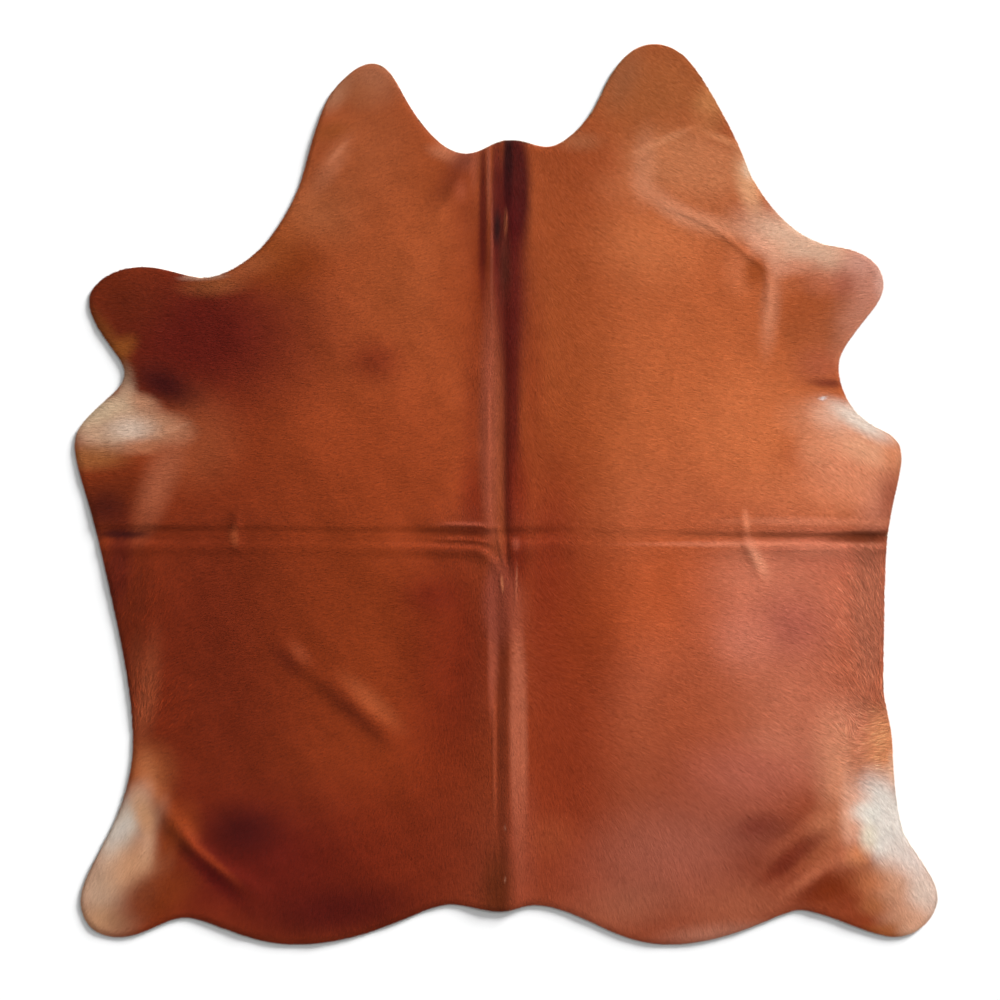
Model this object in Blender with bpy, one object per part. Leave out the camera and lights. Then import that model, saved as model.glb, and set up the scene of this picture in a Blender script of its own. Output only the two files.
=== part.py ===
"""A cowhide rug: one whole tanned hide with its hair on, lying hair side up on a floor.

Metres, +Z up. The origin is on the floor under the middle of the hide's box, the neck
points to +Y, and X runs across the back. The slab is the leather with the hair lying on
it. It is flat on the floor but for the folds that storing it has left: one along the
spine, one across the belly, and some slanting wrinkles.
"""
import math
from collections import namedtuple

import bmesh
import bpy
from mathutils import Vector

LEATHER_THICKNESS = 0.0022
HAIR_DEPTH = 0.0018
THICKNESS = LEATHER_THICKNESS + HAIR_DEPTH

SPINE_X = -0.010
CROSS_FOLD_Y = -0.091

# The slab's grid: one pitch all over, closer lines along the two long folds, and the grid's
# edges cut again beside the short wrinkles.
GRID_PITCH = 0.060
SPINE_LINES = (-0.050, -0.034, -0.020, -0.008, 0.0, 0.008, 0.020, 0.034, 0.050)
CROSS_FOLD_LINES = (-0.040, -0.026, -0.015, -0.006, 0.0, 0.006, 0.015, 0.026, 0.040)
WRINKLE_CUTS = 3
SLAB_SIZE = 2.3
OUTLINE_STEPS = 5
SHORTEST_EDGE = 0.0012

# The cut edge, clockwise from the neck, a row for each lobe, hollow or bend: its place, the
# way the edge runs there in degrees from +X, and how far that direction holds before and after.
Edge = namedtuple("Edge", "name x y heading back on")
EDGE = [
    Edge("neck crest", 0.015, 0.831, 0, 0.028, 0.033),
    Edge("right neck notch", 0.098, 0.816, 0, 0.033, 0.033),
    Edge("right cheek inner", 0.220, 0.934, 67, 0.068, 0.060),
    Edge("right cheek tip", 0.347, 1.057, 0, 0.064, 0.059),
    Edge("right cheek outer", 0.467, 0.963, -58, 0.052, 0.055),
    Edge("right throat", 0.564, 0.771, -71, 0.060, 0.036),
    Edge("right dewlap", 0.643, 0.651, -46, 0.047, 0.047),
    Edge("right foreleg root", 0.765, 0.582, -8, 0.047, 0.052),
    Edge("right foreleg tip", 0.885, 0.494, -88, 0.060, 0.040),
    Edge("right foreleg under", 0.826, 0.390, -125, 0.038, 0.028),
    Edge("right armpit", 0.780, 0.301, -92, 0.035, 0.046),
    Edge("right brisket top", 0.857, 0.163, -27, 0.056, 0.052),
    Edge("right brisket tip", 0.927, 0.078, -92, 0.054, 0.035),
    Edge("right flank top", 0.891, -0.138, -92, 0.082, 0.094),
    Edge("right flank foot", 0.886, -0.460, -89, 0.118, 0.035),
    Edge("right stifle", 0.906, -0.590, -88, 0.047, 0.047),
    Edge("right hock", 0.930, -0.787, -70, 0.052, 0.042),
    Edge("right hind leg tip", 1.012, -0.949, -92, 0.047, 0.042),
    Edge("right hind leg foot", 0.913, -1.039, 180, 0.056, 0.060),
    Edge("right hollow", 0.688, -0.976, 178, 0.066, 0.040),
    Edge("right rump", 0.380, -1.057, 180, 0.150, 0.125),
    Edge("right tail hollow", 0.074, -0.965, 175, 0.108, 0.033),
    Edge("tail", -0.015, -0.980, 180, 0.033, 0.033),
    Edge("left tail hollow", -0.133, -0.963, 180, 0.035, 0.066),
    Edge("left rump", -0.501, -1.057, 180, 0.190, 0.106),
    Edge("left hollow", -0.755, -0.994, 180, 0.052, 0.047),
    Edge("left hind leg foot", -0.913, -1.040, 178, 0.056, 0.052),
    Edge("left hind leg tip", -0.999, -0.956, 92, 0.054, 0.042),
    Edge("left hock", -0.923, -0.776, 64, 0.075, 0.056),
    Edge("left stifle", -0.876, -0.583, 90, 0.070, 0.070),
    Edge("left flank", -0.911, -0.315, 102, 0.106, 0.118),
    Edge("left brisket foot", -0.983, -0.014, 107, 0.082, 0.052),
    Edge("left brisket tip", -1.013, 0.118, 90, 0.035, 0.044),
    Edge("left armpit foot", -0.923, 0.236, 43, 0.050, 0.024),
    Edge("left armpit", -0.896, 0.289, 92, 0.024, 0.033),
    Edge("left foreleg tip", -0.979, 0.449, 95, 0.066, 0.044),
    Edge("left foreleg top", -0.854, 0.533, 0, 0.070, 0.056),
    Edge("left dewlap", -0.711, 0.508, -2, 0.047, 0.046),
    Edge("left throat", -0.556, 0.600, 52, 0.061, 0.056),
    Edge("left cheek slope", -0.471, 0.771, 76, 0.072, 0.070),
    Edge("left cheek outer", -0.419, 0.928, 62, 0.028, 0.028),
    Edge("left cheek tip", -0.317, 1.011, 2, 0.042, 0.038),
    Edge("left cheek inner", -0.241, 0.936, -62, 0.038, 0.042),
    Edge("left neck notch", -0.100, 0.800, -2, 0.060, 0.038),
    Edge("left neck rise", -0.015, 0.828, 15, 0.028, 0.012),
]

# Each fold is a welt from one point to another: its height, its reach to each side, and how
# deep and how wide to each side the crease along its crest is.
Fold = namedtuple("Fold", "name x0 y0 x1 y1 height reach crease crease_reach")
FOLDS = [
    Fold("spine", SPINE_X, 0.92, SPINE_X, -1.08, 0.009, 0.050, 0.008, 0.020),
    Fold("cross fold, left", -1.08, CROSS_FOLD_Y, 0.05, CROSS_FOLD_Y, 0.007, 0.040, 0.006, 0.015),
    Fold("cross fold, right", -0.05, CROSS_FOLD_Y, 1.00, CROSS_FOLD_Y, 0.007, 0.040, 0.006, 0.015),
    Fold("kink, left", -0.642, -0.040, -0.630, -0.150, 0.006, 0.024, 0.0, 0.0),
    Fold("kink, right", 0.549, -0.040, 0.572, -0.190, 0.007, 0.024, 0.0, 0.0),
    Fold("belly wrinkle", -0.540, -0.330, -0.255, -0.580, 0.010, 0.036, 0.0, 0.0),
    Fold("left thigh wrinkle, upper", -0.850, -0.630, -0.750, -0.810, 0.009, 0.036, 0.0, 0.0),
    Fold("left thigh wrinkle, lower", -0.795, -0.765, -0.580, -0.930, 0.009, 0.036, 0.0, 0.0),
    Fold("right thigh wrinkle, inner", 0.590, -0.865, 0.775, -0.730, 0.009, 0.040, 0.0, 0.0),
    Fold("right thigh wrinkle, outer", 0.650, -0.955, 0.850, -0.820, 0.009, 0.040, 0.0, 0.0),
    Fold("shoulder wrinkle, upper", 0.450, 0.670, 0.620, 0.515, 0.005, 0.026, 0.0, 0.0),
    Fold("shoulder wrinkle, lower", 0.608, 0.550, 0.615, 0.400, 0.005, 0.026, 0.0, 0.0),
]
FADE = 0.09
LONG_FOLDS = ("spine", "cross fold, left", "cross fold, right")


def remove_everything():
    for obj in list(bpy.data.objects):
        bpy.data.objects.remove(obj, do_unlink=True)


def new_collection(name):
    collection = bpy.data.collections.new(name)
    bpy.context.scene.collection.children.link(collection)
    return collection


def hide_material():
    material = bpy.data.materials.new("chestnut hair-on hide")
    material.use_nodes = True
    shader = material.node_tree.nodes["Principled BSDF"]
    shader.inputs["Base Color"].default_value = (0.255, 0.058, 0.017, 1.0)
    shader.inputs["Roughness"].default_value = 0.55
    shader.inputs["Metallic"].default_value = 0.0
    return material


def outline_mesh():
    """The hide's outline as an upright prism, taller than the slab it cuts."""
    curve = bpy.data.curves.new("outline", "CURVE")
    curve.dimensions = "2D"
    curve.fill_mode = "BOTH"
    curve.extrude = 5 * THICKNESS
    curve.resolution_u = OUTLINE_STEPS
    spline = curve.splines.new("BEZIER")
    spline.bezier_points.add(len(EDGE) - 1)
    spline.use_cyclic_u = True
    for point, edge in zip(spline.bezier_points, EDGE):
        place = Vector((edge.x, edge.y, 0.0))
        turn = math.radians(edge.heading)
        along = Vector((math.cos(turn), math.sin(turn), 0.0))
        point.handle_left_type = "FREE"
        point.handle_right_type = "FREE"
        point.co = place
        point.handle_left = place - edge.back * along
        point.handle_right = place + edge.on * along
    source = bpy.data.objects.new("outline curve", curve)
    bpy.context.scene.collection.objects.link(source)
    bpy.context.view_layer.update()
    mesh = evaluated_mesh(source)
    bpy.data.objects.remove(source, do_unlink=True)
    bm = bmesh.new()
    bm.from_mesh(mesh)
    bmesh.ops.remove_doubles(bm, verts=bm.verts, dist=0.00001)
    bmesh.ops.recalc_face_normals(bm, faces=bm.faces)
    bm.to_mesh(mesh)
    bm.free()
    return mesh


def evaluated_mesh(obj):
    depsgraph = bpy.context.evaluated_depsgraph_get()
    return bpy.data.meshes.new_from_object(obj.evaluated_get(depsgraph))


def grid_lines(fold_at, close_lines):
    """Even lines over the slab, with close ones in place of those beside a long fold."""
    count = round(SLAB_SIZE / GRID_PITCH)
    even = [(i - count / 2) * GRID_PITCH for i in range(1, count)]
    clear = max(close_lines) + GRID_PITCH / 2
    lines = [line for line in even if abs(line - fold_at) > clear]
    return lines + [fold_at + offset for offset in close_lines]


def slab_mesh():
    """A flat slab, its faces split along the grid's lines."""
    bm = bmesh.new()
    bmesh.ops.create_cube(bm, size=1.0)
    bmesh.ops.scale(bm, verts=bm.verts, vec=(SLAB_SIZE, SLAB_SIZE, THICKNESS))
    bmesh.ops.translate(bm, verts=bm.verts, vec=(0.0, 0.0, THICKNESS / 2))
    for x in grid_lines(SPINE_X, SPINE_LINES):
        split_at(bm, (x, 0.0, 0.0), (1.0, 0.0, 0.0))
    for y in grid_lines(CROSS_FOLD_Y, CROSS_FOLD_LINES):
        split_at(bm, (0.0, y, 0.0), (0.0, 1.0, 0.0))
    mesh = bpy.data.meshes.new("hide")
    bm.to_mesh(mesh)
    bm.free()
    return mesh


def split_at(bm, place, normal):
    geometry = bm.verts[:] + bm.edges[:] + bm.faces[:]
    bmesh.ops.bisect_plane(bm, geom=geometry, plane_co=place, plane_no=normal)


def along_and_beside(fold, x, y):
    """How far a place lies along a fold, how far past its ends, and how far beside it."""
    run = Vector((fold.x1 - fold.x0, fold.y1 - fold.y0))
    offset = Vector((x - fold.x0, y - fold.y0))
    along = offset.dot(run.normalized())
    to_end = min(along, run.length - along)
    beside = abs(offset.cross(run.normalized()))
    return to_end, beside


def swell(share):
    """1 at the crest, falling softly to 0 at the reach."""
    if share >= 1.0:
        return 0.0
    return 0.5 + 0.5 * math.cos(math.pi * share)


def relief(x, y):
    """How far the hide stands off the floor at a place: the highest fold there."""
    height = 0.0
    for fold in FOLDS:
        to_end, beside = along_and_beside(fold, x, y)
        if to_end <= 0.0 or beside >= fold.reach:
            continue
        crest = fold.height * swell(beside / fold.reach)
        if beside < fold.crease_reach:
            crest -= fold.crease * swell(beside / fold.crease_reach)
        height = max(height, crest * swell(1.0 - min(to_end / FADE, 1.0)))
    return height


def split_beside_wrinkles(bm):
    """Cuts the edges of the grid that lie under a short wrinkle into equal lengths."""
    chosen = []
    for edge in bm.edges:
        middle = (edge.verts[0].co + edge.verts[1].co) / 2
        if edge.calc_length() < GRID_PITCH / 2:
            continue
        for fold in FOLDS:
            to_end, beside = along_and_beside(fold, middle.x, middle.y)
            close = to_end > -GRID_PITCH / 2 and beside < fold.reach + GRID_PITCH / 2
            if fold.name not in LONG_FOLDS and close:
                chosen.append(edge)
                break
    bmesh.ops.subdivide_edges(bm, edges=chosen, cuts=WRINKLE_CUTS, use_grid_fill=True)


def shape_hide(obj):
    """Turns the cut slab into the lying hide: its fine grid, then its folds."""
    bm = bmesh.new()
    bm.from_mesh(obj.data)
    split_beside_wrinkles(bm)
    bmesh.ops.dissolve_degenerate(bm, dist=SHORTEST_EDGE, edges=bm.edges)
    bmesh.ops.triangulate(bm, faces=bm.faces)
    for vert in bm.verts:
        vert.co.z += relief(vert.co.x, vert.co.y)
    bmesh.ops.recalc_face_normals(bm, faces=bm.faces)
    bm.to_mesh(obj.data)
    bm.free()


def make_hide(collection, cutters):
    cutter = bpy.data.objects.new("outline", outline_mesh())
    cutters.objects.link(cutter)
    cutter.hide_render = True
    cutter.display_type = "WIRE"
    hide = bpy.data.objects.new("hide", slab_mesh())
    collection.objects.link(hide)
    cut = hide.modifiers.new("cut to outline", "BOOLEAN")
    cut.operation = "INTERSECT"
    cut.solver = "EXACT"
    cut.object = cutter
    bpy.context.view_layer.update()
    mesh = evaluated_mesh(hide)
    hide.modifiers.remove(cut)
    hide.data = mesh
    hide.data.name = "hide"
    shape_hide(hide)
    hide.data.materials.clear()
    hide.data.materials.append(hide_material())
    hide.data.shade_smooth()
    hide.data.set_sharp_from_angle(angle=math.radians(40))
    return hide


remove_everything()
make_hide(new_collection("cowhide rug"), new_collection("cutters"))
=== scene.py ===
import math
from collections import namedtuple

import bmesh
import bpy
import numpy as np
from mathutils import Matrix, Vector
from mathutils.kdtree import KDTree


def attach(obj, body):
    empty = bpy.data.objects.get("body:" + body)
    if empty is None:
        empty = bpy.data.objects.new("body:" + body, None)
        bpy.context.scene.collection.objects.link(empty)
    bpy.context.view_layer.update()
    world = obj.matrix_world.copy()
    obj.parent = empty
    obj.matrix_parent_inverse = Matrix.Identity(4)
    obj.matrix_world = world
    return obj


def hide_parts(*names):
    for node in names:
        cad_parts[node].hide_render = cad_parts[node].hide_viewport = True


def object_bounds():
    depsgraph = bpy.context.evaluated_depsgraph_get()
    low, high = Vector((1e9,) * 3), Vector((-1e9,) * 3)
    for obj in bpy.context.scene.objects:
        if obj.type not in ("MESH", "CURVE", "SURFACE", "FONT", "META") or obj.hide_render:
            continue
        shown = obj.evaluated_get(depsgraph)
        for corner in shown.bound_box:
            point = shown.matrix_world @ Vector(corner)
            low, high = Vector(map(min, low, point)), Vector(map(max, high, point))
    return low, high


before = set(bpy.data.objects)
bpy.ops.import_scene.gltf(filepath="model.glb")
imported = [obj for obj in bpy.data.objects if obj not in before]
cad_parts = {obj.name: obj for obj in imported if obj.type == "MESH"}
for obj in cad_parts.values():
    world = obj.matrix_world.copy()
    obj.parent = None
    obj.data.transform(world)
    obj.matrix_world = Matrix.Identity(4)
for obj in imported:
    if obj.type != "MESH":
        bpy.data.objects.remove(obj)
cad_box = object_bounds()

# Camera. The hide is seen from straight above, neck at the top, through a long lens.
# One pixel of the 1000 by 1000 picture is 2.35 mm of floor.
PIXEL = 0.00235
PICTURE_PIXELS = 1000
PICTURE_MIDDLE = (-0.015, -0.014)
CAMERA_HEIGHT = 6.0
SENSOR = 36.0

camera_data = bpy.data.cameras.new("camera")
camera_data.sensor_width = SENSOR
camera_data.lens = SENSOR * CAMERA_HEIGHT / (PICTURE_PIXELS * PIXEL)
camera = bpy.data.objects.new("camera", camera_data)
camera.location = (PICTURE_MIDDLE[0], PICTURE_MIDDLE[1], CAMERA_HEIGHT)
bpy.context.scene.collection.objects.link(camera)
bpy.context.scene.camera = camera

# The hide's cut edge and its folds. A tanner trims the skin round its lobes with one smooth
# cut. Rolled and folded for storing, it keeps a crease along the spine, one across the
# belly, and soft slanting wrinkles where the legs were. The edge comes from the frame.
CORNER_TURN = math.radians(0.25)
OUTLINE_STEPS = 5
OUTLINE_HEIGHT = 0.02
SAME_PLACE = 0.00001
WALL_TILT = 0.5
SLAB_MARGIN = 1.1

Ridge = namedtuple("Ridge", "name left right line")
RIDGES = [
    Ridge("spine, swell", 0.099, 0.099, [
        (-0.008, 0.907, 0.0022), (-0.008, 0.456, 0.0020), (-0.006, 0.104, 0.0022),
        (-0.001, -0.249, 0.0024), (-0.001, -1.013, 0.0022)]),
    Ridge("spine, fold above", 0.024, 0.035, [
        (-0.003, 0.903, -0.0022), (-0.006, 0.738, -0.0020), (-0.006, 0.550, -0.0015),
        (-0.008, 0.386, -0.0018), (-0.008, 0.221, -0.0024), (-0.008, 0.057, -0.0028),
        (-0.008, -0.073, -0.0028), (-0.006, -0.113, 0.0000)]),
    Ridge("spine, thin crest", 0.007, 0.028, [
        (-0.043, 0.856, 0.0005), (-0.041, 0.762, 0.0009), (-0.039, 0.644, 0.0009),
        (-0.031, 0.527, 0.0008), (-0.027, 0.456, 0.0006), (-0.034, 0.350, 0.0005),
        (-0.041, 0.292, 0.0011), (-0.043, 0.174, 0.0013), (-0.043, 0.057, 0.0012),
        (-0.039, -0.049, 0.0010), (-0.031, -0.096, 0.0004)]),
    Ridge("spine, lick", 0.007, 0.007, [
        (-0.015, 0.545, 0.0000), (-0.010, 0.597, 0.0008), (-0.001, 0.639, 0.0014),
        (0.001, 0.672, 0.0000)]),
    Ridge("spine, east bank", 0.040, 0.033, [
        (0.013, -0.120, 0.0000), (0.011, -0.155, 0.0008), (0.008, -0.249, 0.0014),
        (0.008, -0.366, 0.0026), (0.008, -0.484, 0.0030), (0.006, -0.625, 0.0022),
        (0.008, -0.766, 0.0014), (0.008, -1.013, 0.0012)]),
    Ridge("spine, west bank", 0.019, 0.094, [
        (-0.062, -0.120, 0.0000), (-0.050, -0.190, 0.0008), (-0.043, -0.272, 0.0015),
        (-0.041, -0.390, 0.0020), (-0.041, -0.484, 0.0018), (-0.039, -0.578, 0.0012),
        (-0.039, -0.719, 0.0008), (-0.039, -1.013, 0.0008)]),
    Ridge("spine, thin lines", 0.007, 0.007, [
        (-0.017, -0.188, 0.0000), (-0.013, -0.202, 0.0008), (-0.010, -0.225, 0.0008),
        (-0.010, -0.249, 0.0000)]),
    Ridge("spine, thin line, lower", 0.007, 0.007, [
        (-0.031, -0.460, 0.0000), (-0.029, -0.519, 0.0011), (-0.029, -0.672, 0.0011),
        (-0.027, -0.766, 0.0004), (-0.022, -0.883, 0.0006), (-0.020, -0.966, 0.0002)]),
    Ridge("spine, thin line, right", 0.007, 0.007, [
        (0.016, -0.127, 0.0000), (0.020, -0.167, 0.0013), (0.023, -0.225, 0.0011),
        (0.020, -0.296, 0.0004)]),
    Ridge("cross fold, north bank", 0.103, 0.019, [
        (-1.026, -0.066, 0.0010), (-0.932, -0.068, 0.0018), (-0.838, -0.070, 0.0026),
        (-0.720, -0.070, 0.0018), (-0.556, -0.070, 0.0016), (-0.415, -0.073, 0.0012),
        (-0.250, -0.073, 0.0014), (-0.168, -0.075, 0.0022), (-0.121, -0.077, 0.0028),
        (-0.050, -0.080, 0.0028), (-0.015, -0.075, 0.0018), (0.126, -0.073, 0.0014),
        (0.243, -0.075, 0.0010), (0.361, -0.080, 0.0018), (0.537, -0.082, 0.0026),
        (0.608, -0.084, 0.0032), (0.725, -0.084, 0.0038), (0.831, -0.084, 0.0042),
        (0.925, -0.084, 0.0044)]),
    Ridge("cross fold, lip", 0.009, 0.007, [
        (-0.156, -0.073, 0.0000), (-0.133, -0.073, 0.0012), (-0.067, -0.075, 0.0012),
        (-0.039, -0.082, 0.0006)]),
    Ridge("cross fold, south bank", 0.016, 0.028, [
        (-1.026, -0.127, 0.0000), (-0.932, -0.124, 0.0011), (-0.838, -0.122, 0.0014),
        (-0.485, -0.124, 0.0007), (-0.250, -0.127, 0.0011), (-0.180, -0.127, 0.0020),
        (-0.121, -0.129, 0.0024), (-0.067, -0.131, 0.0024), (-0.046, -0.143, 0.0022),
        (-0.027, -0.162, 0.0016), (-0.015, -0.190, 0.0004)]),
    Ridge("cross fold, middle lip", 0.007, 0.009, [
        (-0.191, -0.108, 0.0000), (-0.168, -0.108, 0.0008), (-0.121, -0.108, 0.0017),
        (-0.074, -0.110, 0.0017), (-0.043, -0.115, 0.0013), (-0.020, -0.122, 0.0000)]),
    Ridge("cross fold, south bank right", 0.019, 0.047, [
        (-0.001, -0.113, 0.0005), (0.016, -0.120, 0.0030), (0.037, -0.120, 0.0020),
        (0.126, -0.117, 0.0012), (0.243, -0.122, 0.0008), (0.349, -0.122, 0.0010),
        (0.431, -0.120, 0.0020), (0.549, -0.120, 0.0024), (0.666, -0.120, 0.0028),
        (0.784, -0.120, 0.0030), (0.925, -0.120, 0.0032)]),
    Ridge("cross fold, second line", 0.007, 0.007, [
        (0.537, -0.131, 0.0000), (0.596, -0.131, 0.0007), (0.784, -0.129, 0.0008),
        (0.901, -0.129, 0.0006)]),
    Ridge("kink, left", 0.019, 0.019, [
        (-0.635, -0.026, 0.0000), (-0.635, -0.066, 0.0016), (-0.631, -0.108, 0.0018),
        (-0.626, -0.145, 0.0000)]),
    Ridge("kink, right", 0.042, 0.019, [
        (0.544, -0.028, 0.0000), (0.551, -0.061, 0.0009), (0.558, -0.103, 0.0012),
        (0.575, -0.136, 0.0015), (0.591, -0.169, 0.0012), (0.610, -0.214, 0.0000)]),
    Ridge("belly wrinkle", 0.042, 0.038, [
        (-0.556, -0.315, 0.0000), (-0.509, -0.366, 0.0012), (-0.438, -0.432, 0.0014),
        (-0.356, -0.498, 0.0019), (-0.297, -0.550, 0.0020), (-0.245, -0.597, 0.0000)]),
    Ridge("left thigh, upper", 0.031, 0.038, [
        (-0.838, -0.684, 0.0000), (-0.814, -0.719, 0.0010), (-0.779, -0.780, 0.0024),
        (-0.744, -0.818, 0.0020), (-0.720, -0.836, 0.0000)]),
    Ridge("left thigh, lower", 0.031, 0.033, [
        (-0.779, -0.754, 0.0000), (-0.732, -0.832, 0.0026), (-0.661, -0.888, 0.0024),
        (-0.591, -0.930, 0.0010), (-0.544, -0.954, 0.0000)]),
    Ridge("right thigh, inner", 0.042, 0.042, [
        (0.577, -0.888, 0.0000), (0.631, -0.850, 0.0022), (0.702, -0.794, 0.0028),
        (0.765, -0.752, 0.0018), (0.796, -0.731, 0.0000)]),
    Ridge("right thigh, outer", 0.033, 0.033, [
        (0.631, -0.966, 0.0000), (0.678, -0.930, 0.0022), (0.749, -0.883, 0.0028),
        (0.807, -0.850, 0.0020), (0.850, -0.818, 0.0000)]),
    Ridge("shoulder vein, upper", 0.016, 0.016, [
        (0.314, 0.804, 0.0000), (0.349, 0.837, 0.0005), (0.396, 0.853, 0.0006),
        (0.455, 0.846, 0.0005), (0.537, 0.818, 0.0003), (0.568, 0.804, 0.0000)]),
    Ridge("shoulder vein, middle", 0.014, 0.014, [
        (0.337, 0.691, 0.0000), (0.380, 0.675, 0.0009), (0.431, 0.656, 0.0011),
        (0.483, 0.630, 0.0011), (0.533, 0.590, 0.0012), (0.577, 0.555, 0.0012),
        (0.610, 0.531, 0.0009), (0.631, 0.513, 0.0000)]),
    Ridge("shoulder vein, lower", 0.016, 0.016, [
        (0.610, 0.531, 0.0000), (0.617, 0.491, 0.0012), (0.615, 0.444, 0.0012),
        (0.605, 0.386, 0.0000)]),
    Ridge("neck crease, left", 0.019, 0.019, [
        (-0.076, 0.809, 0.0000), (-0.102, 0.757, 0.0010), (-0.128, 0.715, 0.0010),
        (-0.156, 0.663, 0.0006), (-0.175, 0.630, 0.0000)]),
    Ridge("crossing, dark line", 0.009, 0.009, [
        (0.001, -0.080, 0.0000), (0.001, -0.108, -0.0016), (0.004, -0.155, -0.0018),
        (0.004, -0.183, -0.0010), (0.006, -0.214, 0.0000)]),
    Ridge("crossing, slanting lick", 0.007, 0.007, [
        (-0.022, -0.049, 0.0000), (-0.020, -0.084, 0.0010), (-0.015, -0.127, 0.0012),
        (-0.006, -0.160, 0.0008), (0.004, -0.188, 0.0000)]),
]


# The skin also cockles a little as it dries: its height, distance from bump to bump, and seed.
COCKLES = [(0.0008, 0.240, 3), (0.0004, 0.075, 4)]
RIPPLE_WAVES = 7
RIPPLE_SPREAD = (0.7, 1.5)
RIPPLE_PEAK = 4


def ripple(x, y, wave, seed):
    """A smooth uneven field from about -1 to 1, whose bumps are about one wave apart."""
    random = np.random.default_rng(seed)
    total = np.zeros_like(x)
    for _ in range(RIPPLE_WAVES):
        turn = random.uniform(0, 2 * math.pi)
        pace = 2 * math.pi / (wave * random.uniform(*RIPPLE_SPREAD))
        start = random.uniform(0, 2 * math.pi)
        total += np.sin(pace * (x * math.cos(turn) + y * math.sin(turn)) + start)
    return total / RIPPLE_PEAK


def swell(share):
    """1 at a ridge's crest, falling softly to 0 at its reach."""
    return 0.5 + 0.5 * np.cos(math.pi * np.clip(share, 0.0, 1.0))


def relief(x, y):
    """How far the hide stands off the floor at arrays of places, from all the ridges there."""
    height = np.zeros_like(x)
    for ridge in RIDGES:
        reach = max(ridge.left, ridge.right)
        line_x, line_y, _ = zip(*ridge.line)
        near = (x > min(line_x) - reach) & (x < max(line_x) + reach)
        near &= (y > min(line_y) - reach) & (y < max(line_y) + reach)
        near_x = x[near]
        near_y = y[near]
        nearest = np.full(len(near_x), reach)
        crest = np.zeros(len(near_x))
        for (x0, y0, high0), (x1, y1, high1) in zip(ridge.line, ridge.line[1:]):
            run_x = x1 - x0
            run_y = y1 - y0
            along = ((near_x - x0) * run_x + (near_y - y0) * run_y) / (run_x ** 2 + run_y ** 2)
            along = np.clip(along, 0.0, 1.0)
            off_x = near_x - x0 - along * run_x
            off_y = near_y - y0 - along * run_y
            away = np.hypot(off_x, off_y)
            side = np.where(run_x * off_y > run_y * off_x, ridge.left, ridge.right)
            closer = away < nearest
            nearest[closer] = away[closer]
            crest[closer] = ((high0 + (high1 - high0) * along) * swell(away / side))[closer]
        height[near] += crest
    for high, wave, seed in COCKLES:
        height += high * (1.0 + ripple(x, y, wave, seed))
    return np.maximum(height, 0.0)


def in_order(beside):
    """The points of a closed loop, one after the other, from the two beside each."""
    start = next(iter(beside))
    loop = [start, beside[start][0]]
    while loop[-1] is not start:
        ahead = [point for point in beside[loop[-1]] if point is not loop[-2]]
        loop.append(ahead[0])
    return loop[:-1]


def cut_edge(node):
    """The corners of a solid's floor side, in order round it, without those on a straight."""
    bm = bmesh.new()
    bm.from_mesh(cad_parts[node].data)
    bmesh.ops.remove_doubles(bm, verts=bm.verts, dist=SAME_PLACE)
    bm.normal_update()
    beside = {}
    for edge in bm.edges:
        tilts = sorted(face.normal.z for face in edge.link_faces)
        if len(tilts) == 2 and tilts[0] < -WALL_TILT < tilts[1] < WALL_TILT:
            for vert in edge.verts:
                beside.setdefault(vert, []).append(edge.other_vert(vert))
    places = [vert.co.xy.copy() for vert in in_order(beside)]
    bm.free()
    corners = []
    for i, place in enumerate(places):
        turn = (place - places[i - 1]).angle(places[(i + 1) % len(places)] - place)
        if turn > CORNER_TURN:
            corners.append(place)
    return corners


def outline_prism(corners, height):
    """A smooth upright prism through the corners, closed above and below."""
    curve = bpy.data.curves.new("outline", "CURVE")
    curve.dimensions = "2D"
    curve.fill_mode = "BOTH"
    curve.extrude = height
    curve.resolution_u = OUTLINE_STEPS
    spline = curve.splines.new("BEZIER")
    spline.bezier_points.add(len(corners) - 1)
    spline.use_cyclic_u = True
    for point, corner in zip(spline.bezier_points, corners):
        point.co = corner.to_3d()
        point.handle_left_type = "AUTO"
        point.handle_right_type = "AUTO"
    drawn = bpy.data.objects.new("outline", curve)
    bpy.context.scene.collection.objects.link(drawn)
    prism = bpy.data.objects.new("outline prism", evaluated_mesh(drawn))
    bpy.context.scene.collection.objects.link(prism)
    bpy.data.objects.remove(drawn)
    bm = bmesh.new()
    bm.from_mesh(prism.data)
    bmesh.ops.remove_doubles(bm, verts=bm.verts, dist=SAME_PLACE)
    bmesh.ops.recalc_face_normals(bm, faces=bm.faces)
    bm.to_mesh(prism.data)
    bm.free()
    return prism


def evaluated_mesh(obj):
    bpy.context.view_layer.update()
    depsgraph = bpy.context.evaluated_depsgraph_get()
    return bpy.data.meshes.new_from_object(obj.evaluated_get(depsgraph))


def cut_slab(pitch, low, high):
    """A flat slab of square cells between two heights, cut to the hide's outline."""
    cells = math.ceil(SLAB_MARGIN * (cad_box[1].y - cad_box[0].y) / pitch)
    bm = bmesh.new()
    bmesh.ops.create_grid(bm, x_segments=cells, y_segments=cells, size=cells * pitch / 2)
    bmesh.ops.translate(bm, verts=bm.verts, vec=(0.0, 0.0, low))
    raised = bmesh.ops.extrude_face_region(bm, geom=bm.faces[:])["geom"]
    top = [part for part in raised if isinstance(part, bmesh.types.BMVert)]
    bmesh.ops.translate(bm, verts=top, vec=(0.0, 0.0, high - low))
    bmesh.ops.recalc_face_normals(bm, faces=bm.faces)
    slab = bpy.data.objects.new("slab", bpy.data.meshes.new("slab"))
    bm.to_mesh(slab.data)
    bm.free()
    bpy.context.scene.collection.objects.link(slab)
    cut = slab.modifiers.new("cut", "BOOLEAN")
    cut.operation = "INTERSECT"
    cut.solver = "MANIFOLD"
    cut.object = prism
    mesh = evaluated_mesh(slab)
    bpy.data.objects.remove(slab)
    return mesh


prism = outline_prism(cut_edge("hide"), OUTLINE_HEIGHT)

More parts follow.
